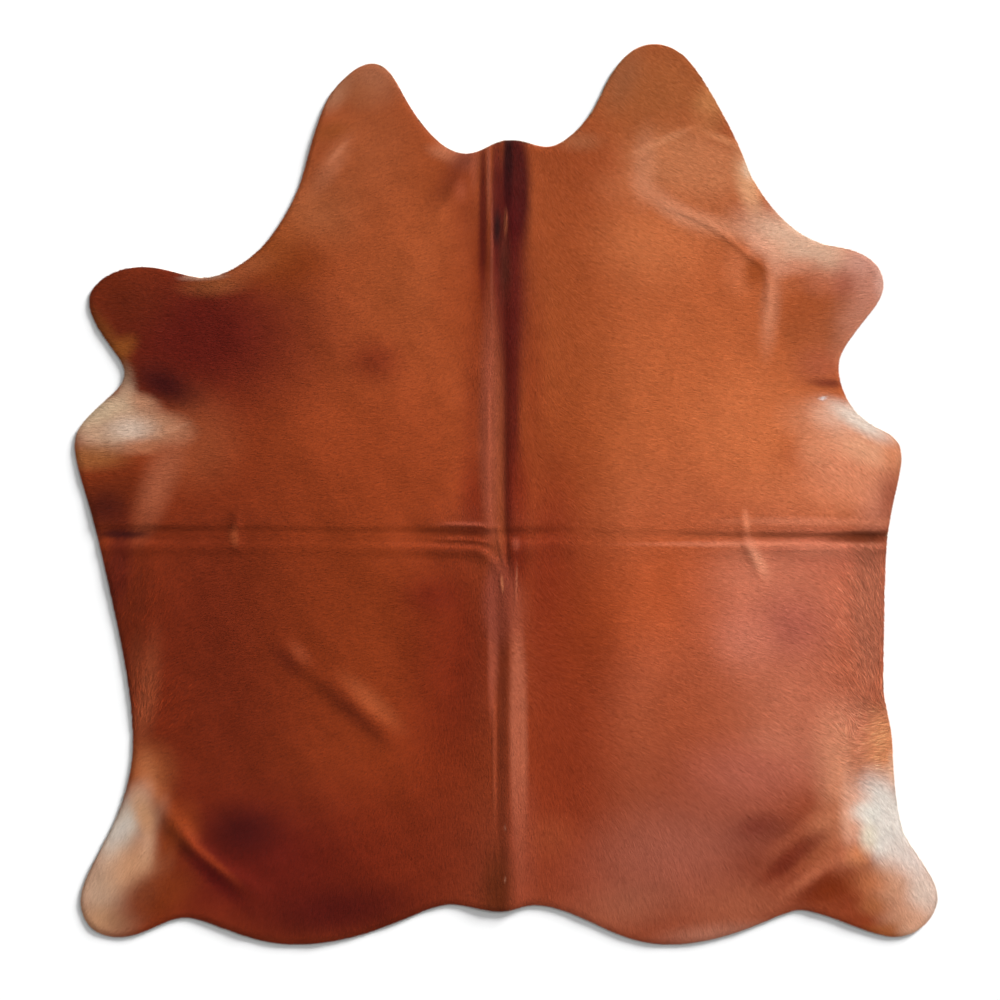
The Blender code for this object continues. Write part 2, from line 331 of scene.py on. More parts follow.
# Flesh side. The skin itself, about 2 mm of chrome-tanned leather. It is buffed to a pale
# suede underneath, and its raw cut edge shows as a thin light line under the hair.
LEATHER_THICKNESS = 0.0022
LEATHER_PITCH = 0.014
LEATHER_INSET = 0.0008
LEATHER_BRIDGE = 0.006
LEATHER_SHARP = math.radians(40)


def linear(text):
    """An sRGB hex colour as linear red, green and blue."""
    parts = [int(text[i:i + 2], 16) / 255 for i in (0, 2, 4)]
    return [p / 12.92 if p <= 0.04045 else ((p + 0.055) / 1.055) ** 2.4 for p in parts]


def add_node(tree, kind, inputs, **settings):
    """Adds a node. settings are its own fields, and inputs its values or links by socket."""
    made = tree.nodes.new(kind)
    for name, value in settings.items():
        setattr(made, name, value)
    for name, value in inputs.items():
        if isinstance(value, bpy.types.NodeSocket):
            tree.links.new(value, made.inputs[name])
        else:
            made.inputs[name].default_value = value
    return made


def new_material(name):
    material = bpy.data.materials.new(name)
    material.use_nodes = True
    material.node_tree.nodes.clear()
    return material, material.node_tree


def new_piece(name, mesh, material):
    mesh.name = name
    mesh.materials.clear()
    mesh.materials.append(material)
    piece = bpy.data.objects.new(name, mesh)
    bpy.context.scene.collection.objects.link(piece)
    return piece


def coordinates(mesh):
    places = np.empty(3 * len(mesh.vertices))
    mesh.vertices.foreach_get("co", places)
    return places.reshape(-1, 3)


def lay_map(mesh, low, span):
    """A map of the mesh seen from above, under the name that a bake keeps."""
    places = coordinates(mesh)
    corners = np.empty(len(mesh.loops), dtype=np.int32)
    mesh.loops.foreach_get("vertex_index", corners)
    flat = (places[corners, :2] - np.array(low)) / span
    layer = mesh.uv_layers.new(name="OFBake")
    layer.uv.foreach_set("vector", flat.ravel())


def suede():
    """Buffed flesh side: matt, pale tan, with darker fibre marks 3 to 60 mm across."""
    material, tree = new_material("buffed suede flesh side")
    place = add_node(tree, "ShaderNodeTexCoord", {}).outputs["Object"]
    cloud = add_node(tree, "ShaderNodeTexNoise", {
        "Vector": place, "Scale": 1 / 0.06, "Detail": 4.0, "Roughness": 0.6})
    fibre = add_node(tree, "ShaderNodeTexNoise", {
        "Vector": place, "Scale": 1 / 0.003, "Detail": 3.0, "Roughness": 0.7})
    marks = add_node(tree, "ShaderNodeMath", {
        0: cloud.outputs["Fac"], 1: fibre.outputs["Fac"]}, operation="MULTIPLY")
    ramp = add_node(tree, "ShaderNodeValToRGB", {"Fac": marks.outputs["Value"]})
    ramp.color_ramp.elements[0].position = 0.12
    ramp.color_ramp.elements[0].color = (*linear("a5845f"), 1.0)
    ramp.color_ramp.elements[1].position = 0.42
    ramp.color_ramp.elements[1].color = (*linear("d9c3a4"), 1.0)
    nap = add_node(tree, "ShaderNodeBump", {
        "Height": fibre.outputs["Fac"], "Strength": 0.5, "Distance": 0.0006})
    shader = add_node(tree, "ShaderNodeBsdfPrincipled", {
        "Base Color": ramp.outputs["Color"], "Normal": nap.outputs["Normal"],
        "Roughness": 0.95, "Specular IOR Level": 0.25})
    add_node(tree, "ShaderNodeOutputMaterial", {"Surface": shader.outputs["BSDF"]})
    return material


def draw_in_edge(mesh, inset):
    """Moves the cut edge's wall inwards, so that the hair's edge stands over it."""
    bm = bmesh.new()
    bm.from_mesh(mesh)
    bm.normal_update()
    moves = {}
    for face in bm.faces:
        if abs(face.normal.z) < WALL_TILT:
            for vert in face.verts:
                moves[vert] = moves.get(vert, Vector()) + face.normal
    for vert, normal in moves.items():
        vert.co -= inset * normal.normalized()
    bm.to_mesh(mesh)
    bm.free()


def low_relief(x, y):
    """The relief of the skin and under-hair, kept under that of the hairs across each crease."""
    steps = [(0, 0), (1, 0), (-1, 0), (0, 1), (0, -1)]
    return np.min([relief(x + i * LEATHER_BRIDGE, y + j * LEATHER_BRIDGE) for i, j in steps], axis=0)


leather_mesh = cut_slab(LEATHER_PITCH, 0.0, LEATHER_THICKNESS)
draw_in_edge(leather_mesh, LEATHER_INSET)
places = coordinates(leather_mesh)
places[:, 2] += low_relief(places[:, 0], places[:, 1])
leather_mesh.vertices.foreach_set("co", places.ravel())
leather_mesh.shade_smooth()
leather_mesh.set_sharp_from_angle(angle=LEATHER_SHARP)
flesh_side = new_piece("flesh_side", leather_mesh, suede())
lay_map(leather_mesh, cad_box[0].xy, cad_box[1].y - cad_box[0].y)
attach(flesh_side, "root")
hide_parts("hide")

# Coat. The under-hair that covers the skin right up to the cut edge, where it rounds over
# the leather. It holds the hide's markings: a dark stripe down the neck, shaded shoulder and
# rump, and cream where the legs join the body. It also holds painted shade and painted
# highlights along the folds, and a painted pink sheen on the lower right belly and thigh.
# Longer hairs lie over it, below.
HIDE_THICKNESS = 0.0040
COAT_PITCH = 0.0075
COAT_TOP = HIDE_THICKNESS - 0.0008
COAT_RIM = 0.008
COAT_RIM_DROP = 0.0013
COAT_SKIRT = 0.0019
# Painted shade along the cut edge: how much darker, and how far in.
EDGE_SHADE = 0.30
EDGE_SHADE_REACH = 0.006

COAT_BASE = "983c15"
# Some markings are not the hair's colour. They are painted shade and painted highlights along the
# folds, and a painted pink sheen on the belly and thigh.
Marking = namedtuple("Marking", "name x y long wide turn blur strength colour")
MARKINGS = [
    Marking("right side", 0.467, 0.221, 0.423, 0.611, 0, 0.90, 0.95, "d26d3a"),
    Marking("shoulder warm, right", 0.337, 0.597, 0.118, 0.085, 0, 0.90, 0.80, "dc7c48"),
    Marking("right loin", 0.502, -0.343, 0.400, 0.305, 0, 0.90, 0.80, "c86544"),
    Marking("right rump", 0.337, -0.883, 0.400, 0.212, 0, 0.80, 0.85, "a25036"),
    Marking("rump hem, right", 0.220, -0.968, 0.141, 0.047, 10, 0.90, 0.60, "ae6549"),
    Marking("rump low, right", 0.544, -0.968, 0.103, 0.056, 0, 0.90, 0.70, "b36244"),
    Marking("beside spine, right upper", 0.126, 0.221, 0.106, 0.540, 0, 0.80, 0.55, "a74715"),
    Marking("spine side, right", 0.055, 0.339, 0.028, 0.212, 0, 0.90, 0.80, "862805"),
    Marking("beside spine, right lower", 0.126, -0.531, 0.113, 0.470, 0, 0.80, 0.85, "953311"),
    Marking("beside spine, right", 0.093, -0.155, 0.056, 0.197, 0, 0.90, 0.80, "8f2d0f"),
    Marking("loin inner, right", 0.201, -0.296, 0.085, 0.150, 0, 0.90, 0.80, "9d3b13"),
    Marking("beside spine, left", -0.137, -0.319, 0.108, 0.305, 0, 0.80, 0.95, "751b05"),
    Marking("left shoulder", -0.203, 0.550, 0.282, 0.423, 0, 0.90, 0.80, "ae5428"),
    Marking("left ribs", -0.250, 0.104, 0.282, 0.235, 0, 0.90, 0.60, "a7441b"),
    Marking("left side, dark", -0.720, -0.437, 0.353, 0.470, 0, 0.70, 0.85, "681c05"),
    Marking("left loin", -0.321, -0.272, 0.212, 0.282, 0, 0.90, 0.60, "90370f"),
    Marking("spine side, left", -0.071, 0.221, 0.028, 0.305, 0, 0.90, 0.70, "933817"),
    Marking("neck, left of spine", -0.161, 0.757, 0.052, 0.052, 0, 0.90, 0.60, "933f15"),
    Marking("spine side, upper left", -0.057, 0.527, 0.019, 0.141, 0, 0.80, 0.80, "812b07"),
    Marking("beside spine, upper left", -0.104, 0.456, 0.056, 0.141, 0, 0.90, 0.60, "953b13"),
    Marking("beside spine, left mid", -0.071, -0.014, 0.033, 0.085, 0, 0.90, 0.80, "7e2507"),
    Marking("left chest", -0.720, 0.374, 0.259, 0.176, 0, 0.80, 0.92, "5f0d05"),
    Marking("left neck side", -0.447, 0.668, 0.075, 0.080, 20, 0.90, 0.70, "b2653b"),
    Marking("left cheek", -0.349, 0.846, 0.122, 0.197, -14, 0.80, 0.80, "9d4f28"),
    Marking("cheek tip, left", -0.316, 0.983, 0.066, 0.052, 0, 0.90, 0.50, "ae7353"),
    Marking("cheek shade, left", -0.407, 0.856, 0.042, 0.019, 10, 0.90, 0.60, "8b4415"),
    Marking("cheek edge, left", -0.396, 0.945, 0.024, 0.042, -35, 0.80, 0.60, "aa7759"),
    Marking("cheek top, left", -0.339, 0.945, 0.038, 0.028, 0, 0.90, 0.50, "95502a"),
    Marking("beside spine, top left", -0.090, 0.691, 0.033, 0.118, 0, 0.90, 0.70, "933c19"),
    Marking("neck top, left of spine", -0.095, 0.792, 0.033, 0.024, 0, 0.90, 0.60, "8f4f3d"),
    Marking("left chest, upper", -0.490, 0.545, 0.085, 0.056, 20, 0.90, 0.80, "89370a"),
    Marking("cheek line, left", -0.405, 0.776, 0.061, 0.021, 58, 0.90, 0.50, "bc714e"),
    Marking("cheek line, bright", -0.391, 0.806, 0.028, 0.007, 50, 0.80, 0.50, "cc7e58"),
    Marking("left rump, dark", -0.509, -0.883, 0.353, 0.165, 0, 0.80, 0.80, "580505"),
    Marking("left rump, inner", -0.203, -0.813, 0.188, 0.212, 0, 0.80, 0.60, "792205"),
    Marking("foreleg, left", -0.903, 0.456, 0.103, 0.080, 0, 0.70, 0.60, "6a2205"),
    Marking("foreleg rim, left", -0.927, 0.357, 0.080, 0.021, -56, 0.80, 0.70, "834617"),
    Marking("armpit rim, left", -0.896, 0.343, 0.021, 0.033, -50, 0.80, 0.80, "95501b"),
    Marking("shoulder edge, left", -0.551, 0.590, 0.080, 0.052, 45, 0.90, 0.65, "9c4d1e"),
    Marking("shoulder edge, low", -0.619, 0.536, 0.061, 0.024, 14, 0.80, 0.60, "ac5c33"),
    Marking("shoulder notch rim", -0.706, 0.510, 0.042, 0.007, 3, 0.80, 0.70, "cca68e"),
    Marking("armpit warm, left", -0.739, 0.127, 0.089, 0.085, 0, 0.90, 0.60, "a85530"),
    Marking("armpit pale, left", -0.922, 0.165, 0.099, 0.059, 3, 0.50, 0.95, "cca384"),
    Marking("armpit pale, inner", -0.807, 0.155, 0.066, 0.035, -8, 0.60, 0.80, "c28c6a"),
    Marking("armpit neck, left", -0.885, 0.240, 0.021, 0.052, 8, 0.70, 0.80, "c29d7f"),
    Marking("shoulder notch warm", -0.682, 0.491, 0.061, 0.021, 4, 0.90, 0.60, "a35b2f"),
    Marking("armpit pale core, left", -0.875, 0.153, 0.047, 0.024, 0, 0.90, 0.70, "ddc7b5"),
    Marking("armpit pale, upper left", -0.946, 0.195, 0.061, 0.024, 22, 0.80, 0.80, "d3b796"),
    Marking("armpit spot, left", -0.798, 0.256, 0.071, 0.035, -24, 0.90, 0.90, "3d0505"),
    Marking("armpit pale, upper", -0.847, 0.216, 0.033, 0.016, -20, 0.90, 0.80, "c28a68"),
    Marking("armpit line, left", -0.788, 0.148, 0.040, 0.005, 22, 0.80, 0.50, "d69d7b"),
    Marking("brisket, left", -0.969, 0.087, 0.075, 0.028, 0, 0.70, 0.60, "aa6d3b"),
    Marking("brisket brown, left", -0.913, 0.010, 0.075, 0.042, 0, 0.90, 0.70, "682305"),
    Marking("brisket dark, left", -0.936, -0.035, 0.052, 0.040, 0, 0.80, 0.80, "430d05"),
    Marking("armpit warm low, left", -0.847, 0.111, 0.042, 0.016, 0, 0.80, 0.70, "be7954"),
    Marking("elbow streak, left", -0.805, 0.038, 0.108, 0.031, 68, 0.90, 0.65, "b66645"),
    Marking("flank streaks, left", -0.845, -0.472, 0.028, 0.122, -8, 0.80, 0.70, "8b4326"),
    Marking("flank streaks, upper left", -0.870, -0.378, 0.014, 0.061, -8, 0.80, 0.40, "935030"),
    Marking("flank edge, left", -0.875, -0.308, 0.033, 0.165, -8, 0.50, 0.75, "621e05"),
    Marking("flank edge, upper left", -0.910, -0.169, 0.031, 0.103, -9, 0.60, 0.60, "430505"),
    # Painted shade in the cross fold's crease, at its left end.
    Marking("cross fold painted shade, left", -0.894, -0.089, 0.059, 0.009, -1, 0.70, 0.85, "2f0505"),
    # Painted highlight on the lit side of the left kink.
    Marking("kink painted highlight, left", -0.634, -0.098, 0.008, 0.021, 5, 0.80, 0.80, "ba572f"),
    # Painted shade on the belly wrinkle's shaded lower side, and painted highlights on its lit upper
    # side.
    Marking("belly wrinkle painted shade, upper", -0.509, -0.390, 0.040, 0.016, -45, 0.90, 0.50, "621c0a"),
    Marking("belly wrinkle painted shade, lower", -0.356, -0.512, 0.089, 0.016, -42, 0.90, 0.42, "621c0a"),
    Marking("belly wrinkle painted highlight", -0.311, -0.484, 0.071, 0.021, -42, 0.90, 0.70, "ae542c"),
    Marking("belly wrinkle painted highlight, upper", -0.478, -0.371, 0.028, 0.014, -50, 0.90, 0.60, "a24928"),
    Marking("loin dark, left", -0.175, -0.235, 0.052, 0.033, 0, 1.00, 0.50, "6b1405"),
    Marking("flank low, left", -0.842, -0.648, 0.056, 0.061, 0, 0.80, 0.65, "a5592f"),
    # Painted highlight on the lit side of the left thigh fold.
    Marking("thigh fold painted highlight, left", -0.814, -0.747, 0.031, 0.094, 8, 0.80, 0.60, "a75f38"),
    Marking("thigh streak, left", -0.838, -0.672, 0.021, 0.056, 4, 0.80, 0.70, "b86d43"),
    Marking("thigh brown, left", -0.753, -0.780, 0.035, 0.056, 0, 0.90, 0.70, "8f3b13"),
    Marking("hind leg pale, left", -0.899, -0.787, 0.040, 0.099, -27, 0.60, 0.90, "bcaa98"),
    Marking("hind leg peach, left", -0.830, -0.803, 0.021, 0.066, -20, 0.90, 0.60, "dfb799"),
    Marking("hind leg front, left", -0.847, -0.747, 0.021, 0.052, 20, 0.80, 0.80, "c28c63"),
    Marking("hind leg white, left", -0.906, -0.799, 0.021, 0.047, -27, 0.80, 0.25, "dadcda"),
    Marking("hind leg tan, left", -0.943, -0.930, 0.080, 0.080, 0, 0.80, 0.90, "c09d82"),
    Marking("hind leg rose, left", -0.868, -0.874, 0.056, 0.066, -28, 0.80, 0.80, "c6926c"),
    Marking("hind leg tip, left", -0.941, -0.996, 0.056, 0.033, 0, 0.80, 0.70, "bb8a63"),
    Marking("hind leg inner, left", -0.823, -0.937, 0.099, 0.056, 32, 0.60, 0.90, "762d0a"),
    # Painted shade in the trough below the left thigh fold, and a painted highlight along its crest.
    Marking("thigh trough painted shade, left", -0.692, -0.888, 0.094, 0.016, -42, 0.80, 0.70, "530705"),
    Marking("thigh ridge painted highlight, left", -0.701, -0.843, 0.085, 0.009, -42, 0.80, 0.70, "973715"),
    Marking("hind leg seam, left", -0.795, -0.794, 0.028, 0.080, -6, 0.70, 0.90, "7e310c"),
    Marking("rump darkest, left", -0.612, -0.785, 0.075, 0.052, 0, 0.90, 0.80, "3c0505"),
    Marking("rump hem, left", -0.396, -0.977, 0.169, 0.052, 8, 0.80, 0.80, "4f0a05"),
    Marking("ribs smudge, left", -0.302, 0.315, 0.052, 0.042, 0, 0.90, 0.60, "6f1905"),
    Marking("eel stripe, top", 0.020, 0.724, 0.035, 0.155, 0, 0.40, 0.95, "4b0505"),
    Marking("eel core, top", 0.004, 0.762, 0.011, 0.113, 0, 0.50, 0.85, "2f0505"),
    Marking("eel stripe, upper", 0.004, 0.480, 0.042, 0.223, 0, 0.60, 0.90, "5b0505"),
    Marking("eel stripe, middle", 0.011, 0.198, 0.021, 0.259, 0, 0.60, 0.90, "5f1005"),
    Marking("spine dark, lower", 0.006, 0.005, 0.012, 0.108, 0, 0.80, 0.90, "6c1b0a"),
    Marking("spine red, lower", 0.030, -0.002, 0.021, 0.103, 0, 0.90, 0.80, "87280c"),
    Marking("crossing shade", 0.023, -0.150, 0.026, 0.066, 0, 0.80, 0.90, "7e2305"),
    Marking("eel side, top", -0.022, 0.691, 0.014, 0.176, 0, 0.60, 0.85, "530505"),
    Marking("spine groove, top", -0.053, 0.656, 0.009, 0.188, 0, 0.60, 0.85, "5c1005"),
    # Painted highlights along the spine's thin crest.
    Marking("spine crest painted highlight, top", -0.041, 0.766, 0.004, 0.089, 0, 0.60, 0.70, "954b36"),
    Marking("spine crest painted highlight, upper", -0.033, 0.545, 0.003, 0.165, 0, 0.60, 0.70, "934631"),
    Marking("spine blot", -0.020, 0.630, 0.008, 0.038, 0, 0.80, 0.80, "160505"),
    Marking("spine hollow, grey", -0.003, 0.545, 0.012, 0.075, 0, 0.80, 0.80, "531e0f"),
    Marking("spine lick", -0.001, 0.642, 0.004, 0.028, 0, 0.70, 0.80, "924b2d"),
    Marking("neck shade, left", -0.123, 0.748, 0.066, 0.024, 57, 1.00, 0.60, "682005"),
    Marking("neck line, left", -0.074, 0.762, 0.008, 0.040, 0, 0.80, 0.50, "ac5436"),
    Marking("neck spot, left", -0.104, 0.715, 0.012, 0.019, 0, 1.00, 0.35, "b85c3d"),
    Marking("neck edge, left", -0.149, 0.806, 0.028, 0.014, -20, 0.90, 0.60, "c27654"),
    # Painted light and painted highlights on the spine fold's east-facing bank and slope.
    Marking("spine bank painted highlight, upper", -0.039, 0.174, 0.021, 0.259, 0, 0.50, 0.85, "a24d33"),
    Marking("spine slope painted light", -0.020, 0.127, 0.016, 0.259, 0, 0.80, 0.60, "8b4329"),
    Marking("spine bank painted highlight, lower", -0.033, -0.355, 0.011, 0.146, 0, 0.60, 0.85, "b0553b"),
    Marking("crossing, mauve", -0.015, -0.254, 0.040, 0.099, 0, 0.40, 0.75, "954330"),
    # Painted highlight along the crest of the cross fold's north bank, left of the spine.
    Marking("cross fold painted highlight, left", -0.090, -0.069, 0.056, 0.005, 0, 0.90, 0.50, "b85a40"),
    Marking("crossing spot", 0.023, -0.115, 0.008, 0.015, 0, 0.70, 0.55, "ae5238"),
    # Painted highlights along the thin crests where the folds cross.
    Marking("crossing thin crest painted highlight, left", -0.010, -0.209, 0.003, 0.019, 4, 0.50, 0.75, "cc774f"),
    Marking("crossing thin crest painted highlight, right", 0.023, -0.211, 0.002, 0.045, -2, 0.50, 0.60, "b87252"),
    # Painted highlight on the lit east side of the spine's lower ridge.
    Marking("east bank painted highlight", 0.027, -0.573, 0.020, 0.287, 1, 0.40, 0.85, "bd6648"),
    Marking("east bank painted highlight, top", 0.025, -0.272, 0.021, 0.061, 0, 0.80, 0.60, "a2482d"),
    Marking("east bank painted highlight, end", 0.034, -0.836, 0.033, 0.150, 0, 0.80, 0.70, "a2492f"),
    Marking("spine shade", -0.008, -0.625, 0.015, 0.294, 0, 0.80, 0.70, "7b3015"),
    # Painted highlight along the thin crest beside the lower spine.
    Marking("spine crest painted highlight, lower", -0.028, -0.601, 0.005, 0.150, 0, 0.60, 0.70, "a34929"),
    Marking("tail shade", -0.022, -0.930, 0.033, 0.094, 0, 0.80, 0.85, "622505"),
    Marking("tail speck, upper", -0.003, -0.782, 0.002, 0.005, 12, 0.60, 0.45, "cc8c6f"),
    Marking("tail speck, low", -0.003, -0.902, 0.002, 0.005, 0, 0.60, 0.45, "d19476"),
    Marking("cheek, right", 0.361, 0.950, 0.165, 0.129, 0, 0.80, 0.90, "b76534"),
    Marking("neck notch, right", 0.168, 0.832, 0.042, 0.019, 0, 0.90, 0.70, "b56b44"),
    Marking("neck glow, right", 0.276, 0.724, 0.056, 0.038, 0, 1.00, 0.60, "d4794a"),
    Marking("ear edge, right", 0.272, 0.985, 0.033, 0.071, -20, 0.80, 0.70, "aa643d"),
    Marking("cheek ear, right", 0.474, 0.912, 0.035, 0.052, -20, 0.80, 0.75, "d88c54"),
    Marking("cheek patch, right", 0.431, 0.773, 0.146, 0.080, -10, 0.50, 0.80, "d98758"),
    Marking("neck edge, right", 0.563, 0.729, 0.024, 0.066, 14, 0.80, 0.85, "f6b686"),
    Marking("neck edge pale", 0.563, 0.762, 0.014, 0.021, 20, 0.80, 0.70, "f2ceaf"),
    Marking("neck below patch", 0.467, 0.656, 0.106, 0.052, -25, 0.80, 0.60, "d27849"),
    Marking("vein, cheek", 0.363, 0.832, 0.066, 0.008, 24, 0.80, 0.75, "e09263"),
    Marking("vein, cheek right", 0.507, 0.834, 0.042, 0.008, -25, 0.80, 0.60, "e39563"),
    Marking("cheek brown", 0.427, 0.884, 0.094, 0.021, 0, 0.90, 0.50, "bc6436"),
    Marking("vein, cheek side", 0.319, 0.771, 0.071, 0.024, 86, 0.90, 0.50, "e0966f"),
    Marking("vein, upper", 0.370, 0.682, 0.075, 0.021, -38, 0.90, 0.55, "e89d76"),
    Marking("vein, middle", 0.469, 0.639, 0.089, 0.019, -20, 0.90, 0.60, "e99f78"),
    Marking("shoulder pale", 0.685, 0.590, 0.127, 0.052, -22, 0.70, 0.95, "f6c9aa"),
    Marking("shoulder pale, inner", 0.615, 0.560, 0.033, 0.021, 20, 0.90, 0.60, "f6b290"),
    Marking("throat warm, right", 0.666, 0.531, 0.052, 0.019, 10, 0.80, 0.80, "f5a986"),
    Marking("shoulder pale, hollow", 0.619, 0.574, 0.038, 0.028, 0, 0.90, 0.70, "f6c09e"),
    Marking("vein, lower", 0.601, 0.574, 0.052, 0.019, -50, 0.80, 0.80, "f6b695"),
    Marking("shoulder pale, low", 0.617, 0.449, 0.019, 0.094, -6, 0.90, 0.60, "e89d78"),
    Marking("throat light, right", 0.544, 0.531, 0.033, 0.047, 0, 0.90, 0.60, "e88859"),
    Marking("throat dark, right", 0.580, 0.527, 0.026, 0.038, -20, 0.70, 0.95, "a54915"),
    Marking("foreleg mauve, right", 0.836, 0.501, 0.063, 0.061, 0, 0.70, 0.90, "d28c74"),
    Marking("foreleg edge, right", 0.880, 0.501, 0.021, 0.061, 0, 0.70, 0.70, "e0ab99"),
    Marking("foreleg brown, right", 0.779, 0.381, 0.089, 0.071, 0, 0.80, 0.80, "b3603a"),
    Marking("foreleg low edge, right", 0.826, 0.395, 0.047, 0.056, 30, 0.80, 0.80, "d28a6e"),
    Marking("foreleg brown, mid", 0.789, 0.456, 0.033, 0.024, 0, 0.80, 0.70, "b3613d"),
    Marking("foreleg mauve, mid", 0.784, 0.494, 0.028, 0.028, 0, 0.90, 0.70, "b55f45"),
    Marking("foreleg glow, right", 0.666, 0.494, 0.024, 0.024, 0, 0.90, 0.50, "dd8359"),
    Marking("foreleg pink, right", 0.836, 0.550, 0.038, 0.028, 0, 0.90, 0.50, "e2ab99"),
    Marking("foreleg rose, right", 0.840, 0.447, 0.038, 0.028, 0, 0.90, 0.50, "da947b"),
    Marking("throat brown, right", 0.690, 0.444, 0.052, 0.085, 0, 0.80, 0.70, "b15426"),
    Marking("throat warm, low", 0.728, 0.498, 0.033, 0.028, 0, 0.90, 0.60, "d87e5b"),
    Marking("throat brown, inner", 0.561, 0.545, 0.061, 0.056, 0, 0.80, 0.25, "cc6b3b"),
    Marking("ribs low, right", 0.732, 0.003, 0.141, 0.066, 0, 0.90, 0.60, "e48558"),
    Marking("ribs warm, right", 0.577, 0.162, 0.122, 0.118, 0, 0.90, 0.70, "e47f4a"),
    Marking("rib shade, right", 0.685, 0.090, 0.042, 0.028, 0, 0.90, 0.60, "c7653a"),
    Marking("ribs pale, right", 0.732, 0.104, 0.042, 0.033, 0, 0.90, 0.60, "f6a476"),
    Marking("armpit mauve, right", 0.732, 0.301, 0.052, 0.038, 0, 0.90, 0.80, "bc603f"),
    Marking("armpit glow, right", 0.784, 0.339, 0.028, 0.033, 0, 0.90, 0.50, "d18363"),
    Marking("armpit crease, right", 0.751, 0.261, 0.038, 0.009, -5, 0.80, 0.80, "7e301b"),
    Marking("armpit warm, right", 0.756, 0.165, 0.085, 0.047, -12, 0.90, 0.75, "f2a47b"),
    Marking("armpit pale, right", 0.784, 0.174, 0.061, 0.033, -24, 0.90, 0.75, "f6ceb5"),
    Marking("brisket, right", 0.869, 0.075, 0.071, 0.080, 0, 0.80, 0.70, "e29266"),
    Marking("brisket warm, right", 0.845, 0.132, 0.066, 0.033, -24, 0.80, 0.60, "f6c1a1"),
    Marking("brisket mauve, right", 0.873, -0.019, 0.047, 0.071, 0, 0.80, 0.70, "d28368"),
    Marking("brisket pale, right", 0.798, 0.071, 0.085, 0.080, -10, 0.90, 0.80, "f59e75"),
    Marking("brisket salmon, right", 0.836, 0.106, 0.071, 0.028, -18, 0.80, 0.80, "f6b189"),
    Marking("brisket edge, right", 0.899, 0.097, 0.019, 0.033, 0, 0.80, 0.70, "e89163"),
    Marking("brisket shade, right", 0.899, -0.007, 0.028, 0.061, 0, 0.80, 0.90, "b26044"),
    Marking("armpit cream, right", 0.826, 0.174, 0.071, 0.021, -30, 0.70, 0.85, "f6e6d7"),
    Marking("armpit fleck, right", 0.736, 0.226, 0.007, 0.003, 20, 0.50, 0.85, "f6f6f6"),
    Marking("cross fold warm, right", 0.361, -0.225, 0.118, 0.136, 0, 0.90, 0.70, "cc5b28"),
    # Painted pink sheen over the hair of the lower right belly.
    Marking("cross fold painted sheen, right", 0.608, -0.190, 0.094, 0.061, 0, 0.90, 0.70, "e38a68"),
    Marking("belly painted sheen", 0.676, -0.249, 0.174, 0.127, 0, 0.90, 0.80, "da7d5f"),
    Marking("belly painted sheen, mauve", 0.657, -0.319, 0.071, 0.071, 0, 0.90, 0.80, "be6452"),
    Marking("belly painted sheen, upper", 0.554, -0.343, 0.056, 0.071, 0, 0.90, 0.80, "e08468"),
    Marking("belly painted sheen, right", 0.760, -0.131, 0.118, 0.047, 0, 0.80, 0.60, "d8795d"),
    Marking("belly painted sheen, low", 0.666, -0.484, 0.165, 0.106, 0, 0.90, 0.70, "d67e5f"),
    Marking("loin dark, right", 0.431, -0.484, 0.118, 0.094, 0, 0.90, 0.60, "b1502a"),
    Marking("loin low, right", 0.455, -0.672, 0.118, 0.094, 0, 0.90, 0.60, "ae5134"),
    Marking("flank whorl, right", 0.850, -0.272, 0.047, 0.188, 0, 0.50, 0.85, "b7694d"),
    Marking("flank seam, right", 0.836, -0.496, 0.033, 0.024, 0, 0.80, 0.70, "995033"),
    Marking("flank edge, right", 0.887, -0.489, 0.012, 0.052, 0, 0.80, 0.25, "e0a382"),
    Marking("stifle, right", 0.869, -0.594, 0.042, 0.085, 0, 0.60, 0.90, "e29665"),
    # Painted pink sheen, as on the belly.
    Marking("stifle painted sheen", 0.796, -0.519, 0.052, 0.047, 0, 0.90, 0.60, "de8a69"),
    Marking("stifle edge, right", 0.901, -0.653, 0.016, 0.038, 0, 0.70, 0.80, "f6bf9c"),
    # Painted pink sheen, as on the belly.
    Marking("thigh painted sheen, right", 0.737, -0.601, 0.094, 0.071, 0, 0.90, 0.60, "d98465"),
    Marking("stifle front, right", 0.779, -0.660, 0.047, 0.118, 8, 0.90, 0.80, "eb9f78"),
    Marking("stifle crease", 0.800, -0.660, 0.005, 0.080, 0, 0.80, 0.50, "b86440"),
    # Painted shade in the cross fold's crease, at its right end.
    Marking("cross fold painted shade, right", 0.836, -0.097, 0.085, 0.012, 2, 0.70, 0.85, "762d0a"),
    Marking("cross fold shade, right", 0.596, -0.096, 0.188, 0.007, 0, 0.80, 0.55, "be5c34"),
    # Painted highlights on the cross fold's lit banks and on the thin line below it.
    Marking("cross fold painted highlight, right", 0.584, -0.116, 0.223, 0.006, 0, 0.80, 0.60, "f29671"),
    Marking("cross fold painted highlight, second line", 0.728, -0.129, 0.056, 0.014, 0, 0.90, 0.60, "e98c6a"),
    Marking("cross fold painted highlight, north bank", 0.718, -0.063, 0.165, 0.009, 0, 0.80, 0.60, "e88e68"),
    # Painted highlights on the lit side of the right kink.
    Marking("kink painted highlight, right", 0.582, -0.148, 0.013, 0.042, 26, 0.80, 0.80, "f6a37e"),
    Marking("kink painted highlight, upper", 0.560, -0.063, 0.007, 0.024, 8, 0.80, 0.80, "f3966b"),
    # Painted pink sheen, as on the belly.
    Marking("thigh painted sheen, mauve", 0.572, -0.648, 0.118, 0.066, 0, 0.90, 0.60, "cb725d"),
    Marking("thigh painted sheen, glow", 0.615, -0.573, 0.047, 0.033, 0, 1.00, 0.50, "da8263"),
    # Painted shade in the right thigh's creases, and painted highlights on the folds between them.
    Marking("thigh crease painted shade, inner", 0.591, -0.785, 0.075, 0.035, 8, 0.90, 0.95, "813119"),
